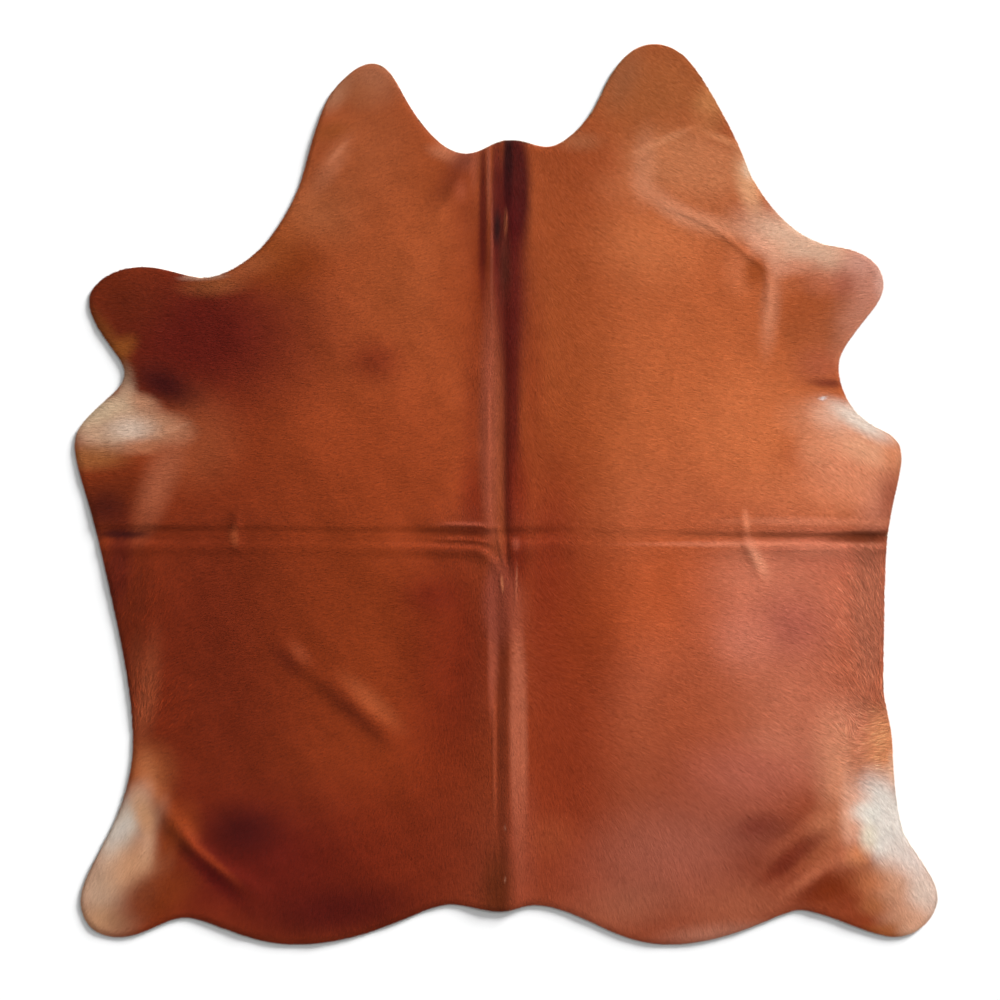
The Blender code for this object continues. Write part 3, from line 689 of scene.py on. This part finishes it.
    Marking("thigh crease painted shade, outer", 0.669, -0.846, 0.085, 0.018, 36, 0.70, 0.90, "7b2505"),
    Marking("thigh fold painted highlight, inner", 0.688, -0.780, 0.080, 0.016, 36, 0.80, 0.80, "ae5736"),
    Marking("thigh fold painted highlight, outer", 0.721, -0.881, 0.085, 0.016, 38, 0.80, 0.85, "c56d4a"),
    Marking("thigh warm, right", 0.737, -0.832, 0.056, 0.033, 30, 0.90, 0.70, "b8643f"),
    Marking("thigh warm, upper", 0.756, -0.766, 0.047, 0.038, 20, 0.90, 0.80, "ce7d57"),
    Marking("thigh crease painted shade, edge", 0.760, -0.914, 0.075, 0.021, 25, 0.80, 0.90, "812b07"),
    Marking("thigh low shade", 0.558, -0.853, 0.042, 0.033, 0, 0.90, 0.70, "893415"),
    Marking("rump mauve", 0.408, -0.825, 0.188, 0.094, 15, 0.90, 0.60, "b26450"),
    Marking("rib light, right", 0.107, -0.799, 0.047, 0.042, 0, 1.00, 0.50, "ac502d"),
    Marking("rump edge, right", 0.507, -1.031, 0.118, 0.026, 4, 0.80, 0.75, "c27e65"),
    Marking("hind leg pale, right", 0.887, -0.773, 0.061, 0.118, 20, 0.40, 0.95, "f6ebe0"),
    Marking("hind leg rim, right", 0.803, -0.747, 0.019, 0.080, 4, 0.80, 0.80, "f5bb9e"),
    Marking("hind leg warm, right", 0.798, -0.855, 0.033, 0.042, 0, 0.90, 0.80, "cc7652"),
    Marking("hind leg orange, right", 0.824, -0.843, 0.028, 0.024, 20, 0.80, 0.80, "e4905f"),
    Marking("hind leg cream, right", 0.845, -0.799, 0.019, 0.033, 0, 0.80, 0.70, "f6e5ca"),
    Marking("hind pale, right", 0.815, -0.747, 0.026, 0.052, -20, 0.80, 0.60, "f3b18e"),
    Marking("hind leg white wedge", 0.838, -0.742, 0.031, 0.024, 0, 0.70, 0.70, "f6f1e6"),
    # More painted shade in the right thigh's creases.
    Marking("thigh crease painted shade, right", 0.678, -0.843, 0.080, 0.014, 38, 0.70, 0.60, "83311d"),
    Marking("thigh crease painted shade, inner right", 0.577, -0.775, 0.038, 0.019, 20, 0.90, 0.45, "833121"),
    Marking("shank crease painted shade, right", 0.789, -0.905, 0.066, 0.021, 30, 0.80, 0.50, "853107"),
    Marking("hind leg mid, right", 0.941, -0.893, 0.061, 0.061, 20, 0.70, 0.80, "ebc1aa"),
    Marking("hind leg pale, low right", 0.944, -0.860, 0.047, 0.061, 25, 0.80, 0.80, "f5e3d8"),
    Marking("hind leg low, right", 0.901, -0.912, 0.061, 0.042, -35, 0.80, 0.80, "e4a27b"),
    Marking("hind leg tip, right", 0.986, -0.949, 0.042, 0.061, 0, 0.70, 0.85, "f6dcca"),
    Marking("hind leg foot, right", 0.944, -0.996, 0.061, 0.038, -8, 0.70, 0.75, "e9ad89"),
    Marking("hind leg inner, right", 0.845, -0.907, 0.038, 0.028, 0, 0.90, 0.80, "cd784a"),
    Marking("hind leg heel, right", 0.897, -1.022, 0.047, 0.019, 0, 0.80, 0.80, "ae602f"),
    Marking("hind leg toe, right", 0.956, -1.020, 0.033, 0.019, 0, 0.80, 0.80, "f2ba99"),
    Marking("hind leg ankle, right", 0.859, -0.961, 0.031, 0.021, 0, 0.90, 0.60, "c27748"),
    Marking("thigh shade, edge", 0.779, -0.921, 0.052, 0.033, 30, 0.90, 0.60, "8a340c"),
]


def coat_colour(x, y):
    """The coat's colour at arrays of places, painted shade, highlights and sheen included: the base
    with each marking laid over the last.
    """
    colour = np.tile(np.array(linear(COAT_BASE)), (len(x), 1))
    for mark in MARKINGS:
        turn = math.radians(mark.turn)
        along = (x - mark.x) * math.cos(turn) + (y - mark.y) * math.sin(turn)
        across = (y - mark.y) * math.cos(turn) - (x - mark.x) * math.sin(turn)
        share = np.hypot(along / mark.long, across / mark.wide)
        faded = np.clip((share - 1 + mark.blur) / (2 * mark.blur), 0.0, 1.0)
        cover = mark.strength * (1 - faded * faded * (3 - 2 * faded))
        colour += cover[:, None] * (np.array(linear(mark.colour)) - colour)
    return colour


def paint(mesh, colours):
    rgba = np.ones((len(colours), 4))
    rgba[:, :3] = np.clip(colours, 0.0, 1.0)
    layer = mesh.color_attributes.new("coat", "FLOAT_COLOR", "POINT")
    layer.data.foreach_set("color", rgba.ravel())


def edge_normals(outline):
    """The outward direction at each point of the outline, which may run either way round."""
    ahead = np.roll(outline, -1, axis=0)
    behind = np.roll(outline, 1, axis=0)
    area = np.sum(outline[:, 0] * ahead[:, 1] - outline[:, 1] * ahead[:, 0])
    run = ahead - behind
    run /= np.hypot(run[:, 0], run[:, 1])[:, None]
    outward = np.stack([run[:, 1], -run[:, 0]], axis=1)
    return outward if area > 0 else -outward


def outline_places():
    """The prism's own outline, in order."""
    bm = bmesh.new()
    bm.from_mesh(prism.data)
    beside = {}
    for edge in bm.edges:
        if all(vert.co.z > 0 for vert in edge.verts):
            if any(abs(face.normal.z) < WALL_TILT for face in edge.link_faces):
                for vert in edge.verts:
                    beside.setdefault(vert, []).append(edge.other_vert(vert))
    places = np.array([vert.co.xy[:] for vert in in_order(beside)])
    bm.free()
    return places


# How far each place lies inside the cut edge, kept on an even field so that it is quick to ask.
FIELD_PITCH = 0.005
FIELD_MARGIN = 0.05
FIELD_NEAR = 4 * FIELD_PITCH
FIELD_END = 1.001
outline = outline_places()
outward = edge_normals(outline)
tree = KDTree(len(outline))
for number, (place_x, place_y) in enumerate(outline):
    tree.insert((place_x, place_y, 0.0), number)
tree.balance()
field_low = np.array(cad_box[0].xy) - FIELD_MARGIN
field_size = np.ceil((np.array(cad_box[1].xy) + FIELD_MARGIN - field_low) / FIELD_PITCH).astype(int)
field = np.empty(field_size)
for i in range(field_size[0]):
    for j in range(field_size[1]):
        spot = field_low + FIELD_PITCH * np.array((i, j))
        _, number, away = tree.find((spot[0], spot[1], 0.0))
        out = (spot - outline[number]) @ outward[number]
        field[i, j] = -out if away < FIELD_NEAR else -math.copysign(away, out)


def inside_edge(x, y):
    """How far places lie inside the cut edge, or less than 0 outside it."""
    u = np.clip((x - field_low[0]) / FIELD_PITCH, 0, field_size[0] - FIELD_END)
    v = np.clip((y - field_low[1]) / FIELD_PITCH, 0, field_size[1] - FIELD_END)
    i = u.astype(int)
    j = v.astype(int)
    u -= i
    v -= j
    low = field[i, j] * (1 - u) + field[i + 1, j] * u
    high = field[i, j + 1] * (1 - u) + field[i + 1, j + 1] * u
    return low * (1 - v) + high * v


def edge_painted_shade(inside):
    """Painted shade on the hair at the cut edge, where it is seen end on."""
    return 1 - EDGE_SHADE * np.clip(1 - inside / EDGE_SHADE_REACH, 0.0, 1.0)


def rim_drop(inside):
    """How far the coat rounds down towards the cut edge."""
    return COAT_RIM_DROP * np.clip(1 - inside / COAT_RIM, 0.0, 1.0) ** 2


def under_hair():
    """Short dense under-hair: deeper in colour than the hairs over it, and matt."""
    material, tree = new_material("cattle under-hair")
    shade = add_node(tree, "ShaderNodeAttribute", {}, attribute_name="coat")
    place = add_node(tree, "ShaderNodeTexCoord", {}).outputs["Object"]
    streak = add_node(tree, "ShaderNodeMapping", {
        "Vector": place, "Scale": (1 / 0.020, 1 / 0.002, 1 / 0.002)})
    hairs = add_node(tree, "ShaderNodeTexNoise", {
        "Vector": streak.outputs["Vector"], "Scale": 1.0, "Detail": 2.0, "Roughness": 0.6})
    depth = add_node(tree, "ShaderNodeMapRange", {
        "Value": hairs.outputs["Fac"], "From Min": 0.3, "From Max": 0.7,
        "To Min": 0.70, "To Max": 0.95})
    shaded = add_node(tree, "ShaderNodeVectorMath", {
        0: shade.outputs["Color"], "Scale": depth.outputs["Result"]}, operation="SCALE")
    nap = add_node(tree, "ShaderNodeBump", {
        "Height": hairs.outputs["Fac"], "Strength": 0.5, "Distance": 0.0006})
    shader = add_node(tree, "ShaderNodeBsdfPrincipled", {
        "Base Color": shaded.outputs["Vector"], "Normal": nap.outputs["Normal"],
        "Roughness": 0.7, "Specular IOR Level": 0.3})
    add_node(tree, "ShaderNodeOutputMaterial", {"Surface": shader.outputs["BSDF"]})
    return material


def coat_sheet():
    """The top of a cut slab, with a skirt round its edge that reaches over the leather."""
    mesh = cut_slab(COAT_PITCH, 0.0, COAT_TOP)
    bm = bmesh.new()
    bm.from_mesh(mesh)
    bm.normal_update()
    lower = [face for face in bm.faces if face.normal.z < WALL_TILT]
    bmesh.ops.delete(bm, geom=lower, context="FACES")
    rim = [edge for edge in bm.edges if edge.is_boundary]
    skirt = bmesh.ops.extrude_edge_only(bm, edges=rim)["geom"]
    hem = [part for part in skirt if isinstance(part, bmesh.types.BMVert)]
    bm.verts.index_update()
    hem_numbers = [vert.index for vert in hem]
    bmesh.ops.recalc_face_normals(bm, faces=bm.faces)
    bm.to_mesh(mesh)
    bm.free()
    places = coordinates(mesh)
    places[:, 2] -= rim_drop(inside_edge(places[:, 0], places[:, 1]))
    places[hem_numbers, 2] = COAT_SKIRT
    places[:, 2] += low_relief(places[:, 0], places[:, 1])
    mesh.vertices.foreach_set("co", places.ravel())
    return mesh


coat_mesh = coat_sheet()
coat_mesh.shade_smooth()
coat_places = coordinates(coat_mesh)
# The coat's colour, with painted shade along the cut edge.
coat_edge_painted_shade = edge_painted_shade(inside_edge(coat_places[:, 0], coat_places[:, 1]))
paint(coat_mesh, coat_edge_painted_shade[:, None] * coat_colour(coat_places[:, 0], coat_places[:, 1]))
lay_map(coat_mesh, cad_box[0].xy, cad_box[1].y - cad_box[0].y)
coat = new_piece("coat", coat_mesh, under_hair())
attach(coat, "root")

# Hair. The hair of a tanned hide lies almost flat, combed from the spine outwards and back,
# down to the legs: about 14 mm long on the body and 24 mm on the flanks. A real coat has ten
# hairs a square millimetre, so each blade here is a small lock of them. One piece a quarter.
HAIR_SPACING = 0.00215
HAIR_WIDTH = 0.0013
HAIR_OVERHANG = 0.0022
HAIR_INSET = 0.0007
HAIR_SPREAD = (0.7, 1.3)
HAIR_ROOT = HIDE_THICKNESS - 0.0006
HAIR_LIFT = (0.0001, 0.0006)
HAIR_ROLL = math.radians(3.5)
HAIR_STRAY = math.radians(8)
HAIR_TONE = 0.06
# Each blade's root gets painted shade and its tip painted light, more so in the locks, for depth
# among the hairs.
ROOT_PAINTED_SHADE = 0.93
TIP_PAINTED_LIGHT = 1.06
LOCK_PAINTED_CONTRAST = 0.42
FOLDED_LENGTH = 0.5
FOLDED_RELIEF = 0.003
COMB_WAVE = math.radians(8)
COMB_WAVE_LENGTH = 0.045
LOCK_PITCH = 0.0065
LOCK_TONE = 0.25
LOCK_FAN = math.radians(50)
LOCK_ROLL = 2.0
LOCK_LIFT = 1.5
PALE_SHARE = 0.25
PALE_TONE = 1.8
ROOT_SEED = 5
COMB_SEED = 11
BLADE_SEED = 20
MAP_MARGIN = 0.04
MAP_SPAN = 1.20

Comb = namedtuple("Comb", "name x y heading reach length locks")
COMBS = [
    Comb("neck", 0.008, 0.738, -90, 0.141, 0.012, 0),
    Comb("withers", 0.008, 0.339, -90, 0.141, 0.012, 0),
    Comb("back", 0.008, -0.108, -90, 0.141, 0.014, 0),
    Comb("rump", 0.008, -0.625, -90, 0.141, 0.015, 0),
    Comb("tail", -0.003, -0.930, -90, 0.118, 0.016, 0),
    Comb("left neck", -0.203, 0.644, -155, 0.212, 0.013, 0),
    Comb("left cheek", -0.332, 0.903, -135, 0.188, 0.013, 0),
    Comb("left shoulder", -0.368, 0.386, -160, 0.259, 0.013, 0),
    Comb("left foreleg", -0.838, 0.421, 175, 0.212, 0.012, 0.1),
    Comb("left armpit", -0.885, 0.174, 180, 0.118, 0.016, 0.15),
    Comb("left ribs", -0.415, 0.033, -170, 0.282, 0.014, 0),
    Comb("left flank", -0.838, -0.249, -100, 0.118, 0.020, 0.45),
    Comb("left belly", -0.556, -0.343, -165, 0.282, 0.015, 0),
    Comb("left flank, outer", -0.866, -0.460, -70, 0.066, 0.024, 0.8),
    Comb("left flank, inner", -0.779, -0.484, -125, 0.066, 0.022, 0.7),
    Comb("left thigh", -0.603, -0.719, -140, 0.235, 0.016, 0),
    Comb("left hind leg", -0.932, -0.907, -120, 0.165, 0.014, 0.05),
    Comb("left rump", -0.368, -0.954, -100, 0.212, 0.016, 0),
    Comb("right neck", 0.220, 0.644, -30, 0.212, 0.013, 0),
    Comb("right cheek", 0.349, 0.926, -35, 0.188, 0.013, 0),
    Comb("right cheek patch", 0.455, 0.762, -20, 0.118, 0.012, 0.05),
    Comb("right shoulder", 0.455, 0.386, -15, 0.259, 0.013, 0),
    Comb("right foreleg", 0.807, 0.480, 5, 0.188, 0.014, 0),
    Comb("right armpit", 0.784, 0.174, -10, 0.094, 0.018, 0.04),
    Comb("right ribs", 0.431, 0.033, -10, 0.282, 0.014, 0),
    Comb("right brisket", 0.854, 0.057, -60, 0.118, 0.016, 0.03),
    Comb("right flank", 0.850, -0.225, -92, 0.094, 0.024, 0.75),
    Comb("right flank, inner", 0.779, -0.366, -60, 0.094, 0.022, 0.6),
    Comb("right flank, outer", 0.878, -0.413, -115, 0.071, 0.024, 0.8),
    Comb("right belly", 0.619, -0.296, -15, 0.235, 0.016, 0.05),
    Comb("stifle", 0.850, -0.566, 25, 0.071, 0.024, 0.6),
    Comb("right loin", 0.337, -0.366, -20, 0.282, 0.015, 0),
    Comb("right thigh", 0.596, -0.695, -40, 0.212, 0.018, 0.05),
    Comb("right hind leg", 0.925, -0.883, -60, 0.141, 0.014, 0.05),
    Comb("right rump", 0.337, -0.954, -75, 0.212, 0.016, 0),
    Comb("crossing", -0.022, -0.101, -90, 0.071, 0.003, 0),
    Comb("fold, left", -0.121, -0.108, -92, 0.061, 0.003, 0),
    Comb("fold, far left", -0.238, -0.103, -120, 0.061, 0.006, 0),
    Comb("fold, right", 0.091, -0.101, -80, 0.056, 0.006, 0),
    Comb("stifle fan", 0.807, -0.545, -165, 0.038, 0.020, 0.5),
]


def combed(x, y):
    """How hair lies at each place: its heading from +X, its length, and how far it locks."""
    # Away from every comb it runs towards the tail, 14 mm long. That counts very little.
    east = np.full_like(x, 0.0)
    north = np.full_like(x, -0.0001)
    length = np.full_like(x, 0.000014)
    locks = np.full_like(x, 0.0)
    total = np.full_like(x, 0.001)
    for comb in COMBS:
        near = np.exp(-((x - comb.x) ** 2 + (y - comb.y) ** 2) / comb.reach ** 2)
        east += near * math.cos(math.radians(comb.heading))
        north += near * math.sin(math.radians(comb.heading))
        length += near * comb.length
        locks += near * comb.locks
        total += near
    heading = np.arctan2(north, east) + COMB_WAVE * ripple(x, y, COMB_WAVE_LENGTH, COMB_SEED)
    return heading, length / total, locks / total


def glossy_hair():
    """Flat-lying cattle hair: the coat's colour, with a soft gloss along it."""
    material, tree = new_material("glossy cattle hair")
    shade = add_node(tree, "ShaderNodeAttribute", {}, attribute_name="coat")
    shader = add_node(tree, "ShaderNodeBsdfPrincipled", {
        "Base Color": shade.outputs["Color"], "Roughness": 0.45,
        "Specular IOR Level": 0.2})
    add_node(tree, "ShaderNodeOutputMaterial", {"Surface": shader.outputs["BSDF"]})
    return material


def hair_roots():
    """Places for hairs all over the hide: an even lattice, each one moved a little."""
    random = np.random.default_rng(ROOT_SEED)
    steps_x = np.arange(cad_box[0].x, cad_box[1].x, HAIR_SPACING)
    steps_y = np.arange(cad_box[0].y, cad_box[1].y, HAIR_SPACING)
    x, y = (side.ravel() for side in np.meshgrid(steps_x, steps_y))
    x = x + random.uniform(-0.5, 0.5, len(x)) * HAIR_SPACING
    y = y + random.uniform(-0.5, 0.5, len(y)) * HAIR_SPACING
    kept = inside_edge(x, y) > HAIR_INSET
    return x[kept], y[kept]


def drawn_together(x, y, tip_x, tip_y, locks):
    """Hairs from one cell of the skin cling together, so their tips draw near to one point."""
    cell_x = np.floor(x / LOCK_PITCH)
    cell_y = np.floor(y / LOCK_PITCH)
    # A number from 0 to 1 that looks random, but is the same for every hair of a cell.
    scatter = np.sin(cell_x * 12.9898 + cell_y * 78.233) * 43758.5453
    chance = scatter - np.floor(scatter)
    lock_x = (cell_x + 0.2 + 0.6 * chance) * LOCK_PITCH
    lock_y = (cell_y + 0.8 - 0.6 * chance) * LOCK_PITCH
    heading, length, _ = combed(lock_x, lock_y)
    heading += LOCK_FAN * (chance - 0.5)
    tip_x = tip_x + locks * (lock_x + length * np.cos(heading) - tip_x)
    tip_y = tip_y + locks * (lock_y + length * np.sin(heading) - tip_y)
    return tip_x, tip_y, chance


def cut_at_edge(x, y, tip_x, tip_y):
    """The tips, with each hair that reaches too far past the cut edge made shorter."""
    here = inside_edge(x, y)
    there = inside_edge(tip_x, tip_y)
    kept = np.where(there < -HAIR_OVERHANG, (here + HAIR_OVERHANG) / (here - there), 1.0)
    return x + kept * (tip_x - x), y + kept * (tip_y - y)


def blade_mesh(name, corners, colours):
    """A mesh of loose triangles from their corners, painted with a colour at each corner."""
    count = len(corners)
    mesh = bpy.data.meshes.new(name)
    mesh.vertices.add(3 * count)
    mesh.vertices.foreach_set("co", corners.ravel())
    mesh.loops.add(3 * count)
    mesh.loops.foreach_set("vertex_index", np.arange(3 * count, dtype=np.int32))
    mesh.polygons.add(count)
    mesh.polygons.foreach_set("loop_start", np.arange(0, 3 * count, 3, dtype=np.int32))
    mesh.update(calc_edges=True)
    paint(mesh, colours.reshape(-1, 3))
    return mesh


def hair_mesh(name, x, y, seed):
    """A mesh of one blade a hair: a narrow triangle from its root to its tip."""
    random = np.random.default_rng(seed)
    count = len(x)
    heading, length, locks = combed(x, y)
    heading += random.normal(0.0, HAIR_STRAY, count)
    root_relief = relief(x, y)
    length *= random.uniform(*HAIR_SPREAD, count)
    length *= 1 - FOLDED_LENGTH * np.clip(root_relief / FOLDED_RELIEF - 0.5, 0.0, 1.0)
    tip_x = x + length * np.cos(heading)
    tip_y = y + length * np.sin(heading)
    tip_x, tip_y, chance = drawn_together(x, y, tip_x, tip_y, locks)
    tip_x, tip_y = cut_at_edge(x, y, tip_x, tip_y)
    length = np.hypot(tip_x - x, tip_y - y)
    side_x = (tip_y - y) / length * HAIR_WIDTH / 2
    side_y = (x - tip_x) / length * HAIR_WIDTH / 2

    here = inside_edge(x, y)
    there = inside_edge(tip_x, tip_y)
    roll = HAIR_WIDTH / 2 * np.tan(random.normal(0.0, HAIR_ROLL, count) * (1 + LOCK_ROLL * locks))
    lift = random.uniform(*HAIR_LIFT, count) * (1 + LOCK_LIFT * locks)
    root_z = HAIR_ROOT + root_relief - rim_drop(here)
    tip_z = HAIR_ROOT + relief(tip_x, tip_y) - rim_drop(there) + lift
    corners = np.empty((count, 3, 3))
    corners[:, 0] = np.stack([x + side_x, y + side_y, root_z + roll], axis=1)
    corners[:, 1] = np.stack([tip_x, tip_y, tip_z], axis=1)
    corners[:, 2] = np.stack([x - side_x, y - side_y, root_z - roll], axis=1)

    tone = np.exp(random.normal(0.0, HAIR_TONE, count) + LOCK_TONE * locks * (2 * chance - 1))
    pale = random.random(count) < PALE_SHARE * np.clip(2 * locks - 0.5, 0.0, 1.0)
    tone *= np.where(pale, PALE_TONE, 1.0)
    shade = tone[:, None] * coat_colour(x, y)
    # Painted shade at the roots, painted light at the tips, and painted shade at the cut edge.
    root = ((ROOT_PAINTED_SHADE - LOCK_PAINTED_CONTRAST * locks) * edge_painted_shade(here))[:, None] * shade
    tip = ((TIP_PAINTED_LIGHT + LOCK_PAINTED_CONTRAST * locks) * edge_painted_shade(there))[:, None] * shade
    return blade_mesh(name, corners, np.stack([root, tip, root], axis=1))


root_x, root_y = hair_roots()
hair_material = glossy_hair()
for number, (name, part) in enumerate({
    "hair_left_shoulder": (root_x < 0) & (root_y >= 0),
    "hair_right_shoulder": (root_x >= 0) & (root_y >= 0),
    "hair_left_rump": (root_x < 0) & (root_y < 0),
    "hair_right_rump": (root_x >= 0) & (root_y < 0),
}.items()):
    mesh = hair_mesh(name, root_x[part], root_y[part], BLADE_SEED + number)
    low = (root_x[part].min() - MAP_MARGIN, root_y[part].min() - MAP_MARGIN)
    lay_map(mesh, low, MAP_SPAN)
    hair = new_piece(name, mesh, hair_material)
    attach(hair, "root")

bpy.data.objects.remove(prism)

# Studio. A plain pale floor, a soft key light from the upper right, and even light all round.
FLOOR_SIZE = 12.0
FLOOR_GAP = 0.0003
LOW_KEY = 2.30
HIGH_KEY = 0.45
WALL_LIGHT = 0.56
CEILING_LIGHT = 0.12

floor_paint, floor_tree = new_material("pale floor")
floor_shader = add_node(floor_tree, "ShaderNodeBsdfPrincipled", {
    "Base Color": (*linear("f7f7f7"), 1.0), "Roughness": 0.8, "Specular IOR Level": 0.2})
add_node(floor_tree, "ShaderNodeOutputMaterial", {"Surface": floor_shader.outputs["BSDF"]})
bm = bmesh.new()
bmesh.ops.create_grid(bm, x_segments=1, y_segments=1, size=FLOOR_SIZE / 2)
bmesh.ops.translate(bm, verts=bm.verts, vec=(0.0, 0.0, -FLOOR_GAP))
floor_mesh = bpy.data.meshes.new("floor")
bm.to_mesh(floor_mesh)
bm.free()
new_piece("floor", floor_mesh, floor_paint)

# Name, elevation and heading, how wide it looks, and strength. The low one draws the shadow.
for name, elevation, azimuth, width, strength in [
    ("low key", 10.5, 47, 16, LOW_KEY),
    ("high key", 45, 47, 14, HIGH_KEY),
]:
    lamp_data = bpy.data.lights.new(name, "SUN")
    lamp_data.energy = strength / math.sin(math.radians(elevation))
    lamp_data.angle = math.radians(width)
    lamp = bpy.data.objects.new(name, lamp_data)
    lamp.rotation_euler = (math.radians(90 - elevation), 0.0, math.radians(azimuth + 90))
    bpy.context.scene.collection.objects.link(lamp)

# The room is dim overhead, where the camera hangs, and bright towards the walls.
room = bpy.data.worlds.new("room")
room.use_nodes = True
room.node_tree.nodes.clear()
sky = add_node(room.node_tree, "ShaderNodeTexCoord", {}).outputs["Generated"]
height = add_node(room.node_tree, "ShaderNodeSeparateXYZ", {"Vector": sky}).outputs["Z"]
glow = add_node(room.node_tree, "ShaderNodeMapRange", {
    "Value": height, "From Min": 0.0, "From Max": 1.0, "To Min": WALL_LIGHT, "To Max": CEILING_LIGHT})
light = add_node(room.node_tree, "ShaderNodeBackground", {"Strength": glow.outputs["Result"]})
light.inputs["Color"].default_value = (1.0, 1.0, 1.0, 1.0)
add_node(room.node_tree, "ShaderNodeOutputWorld", {"Surface": light.outputs["Background"]})
bpy.context.scene.world = room
bpy.context.scene.view_settings.view_transform = "Standard"
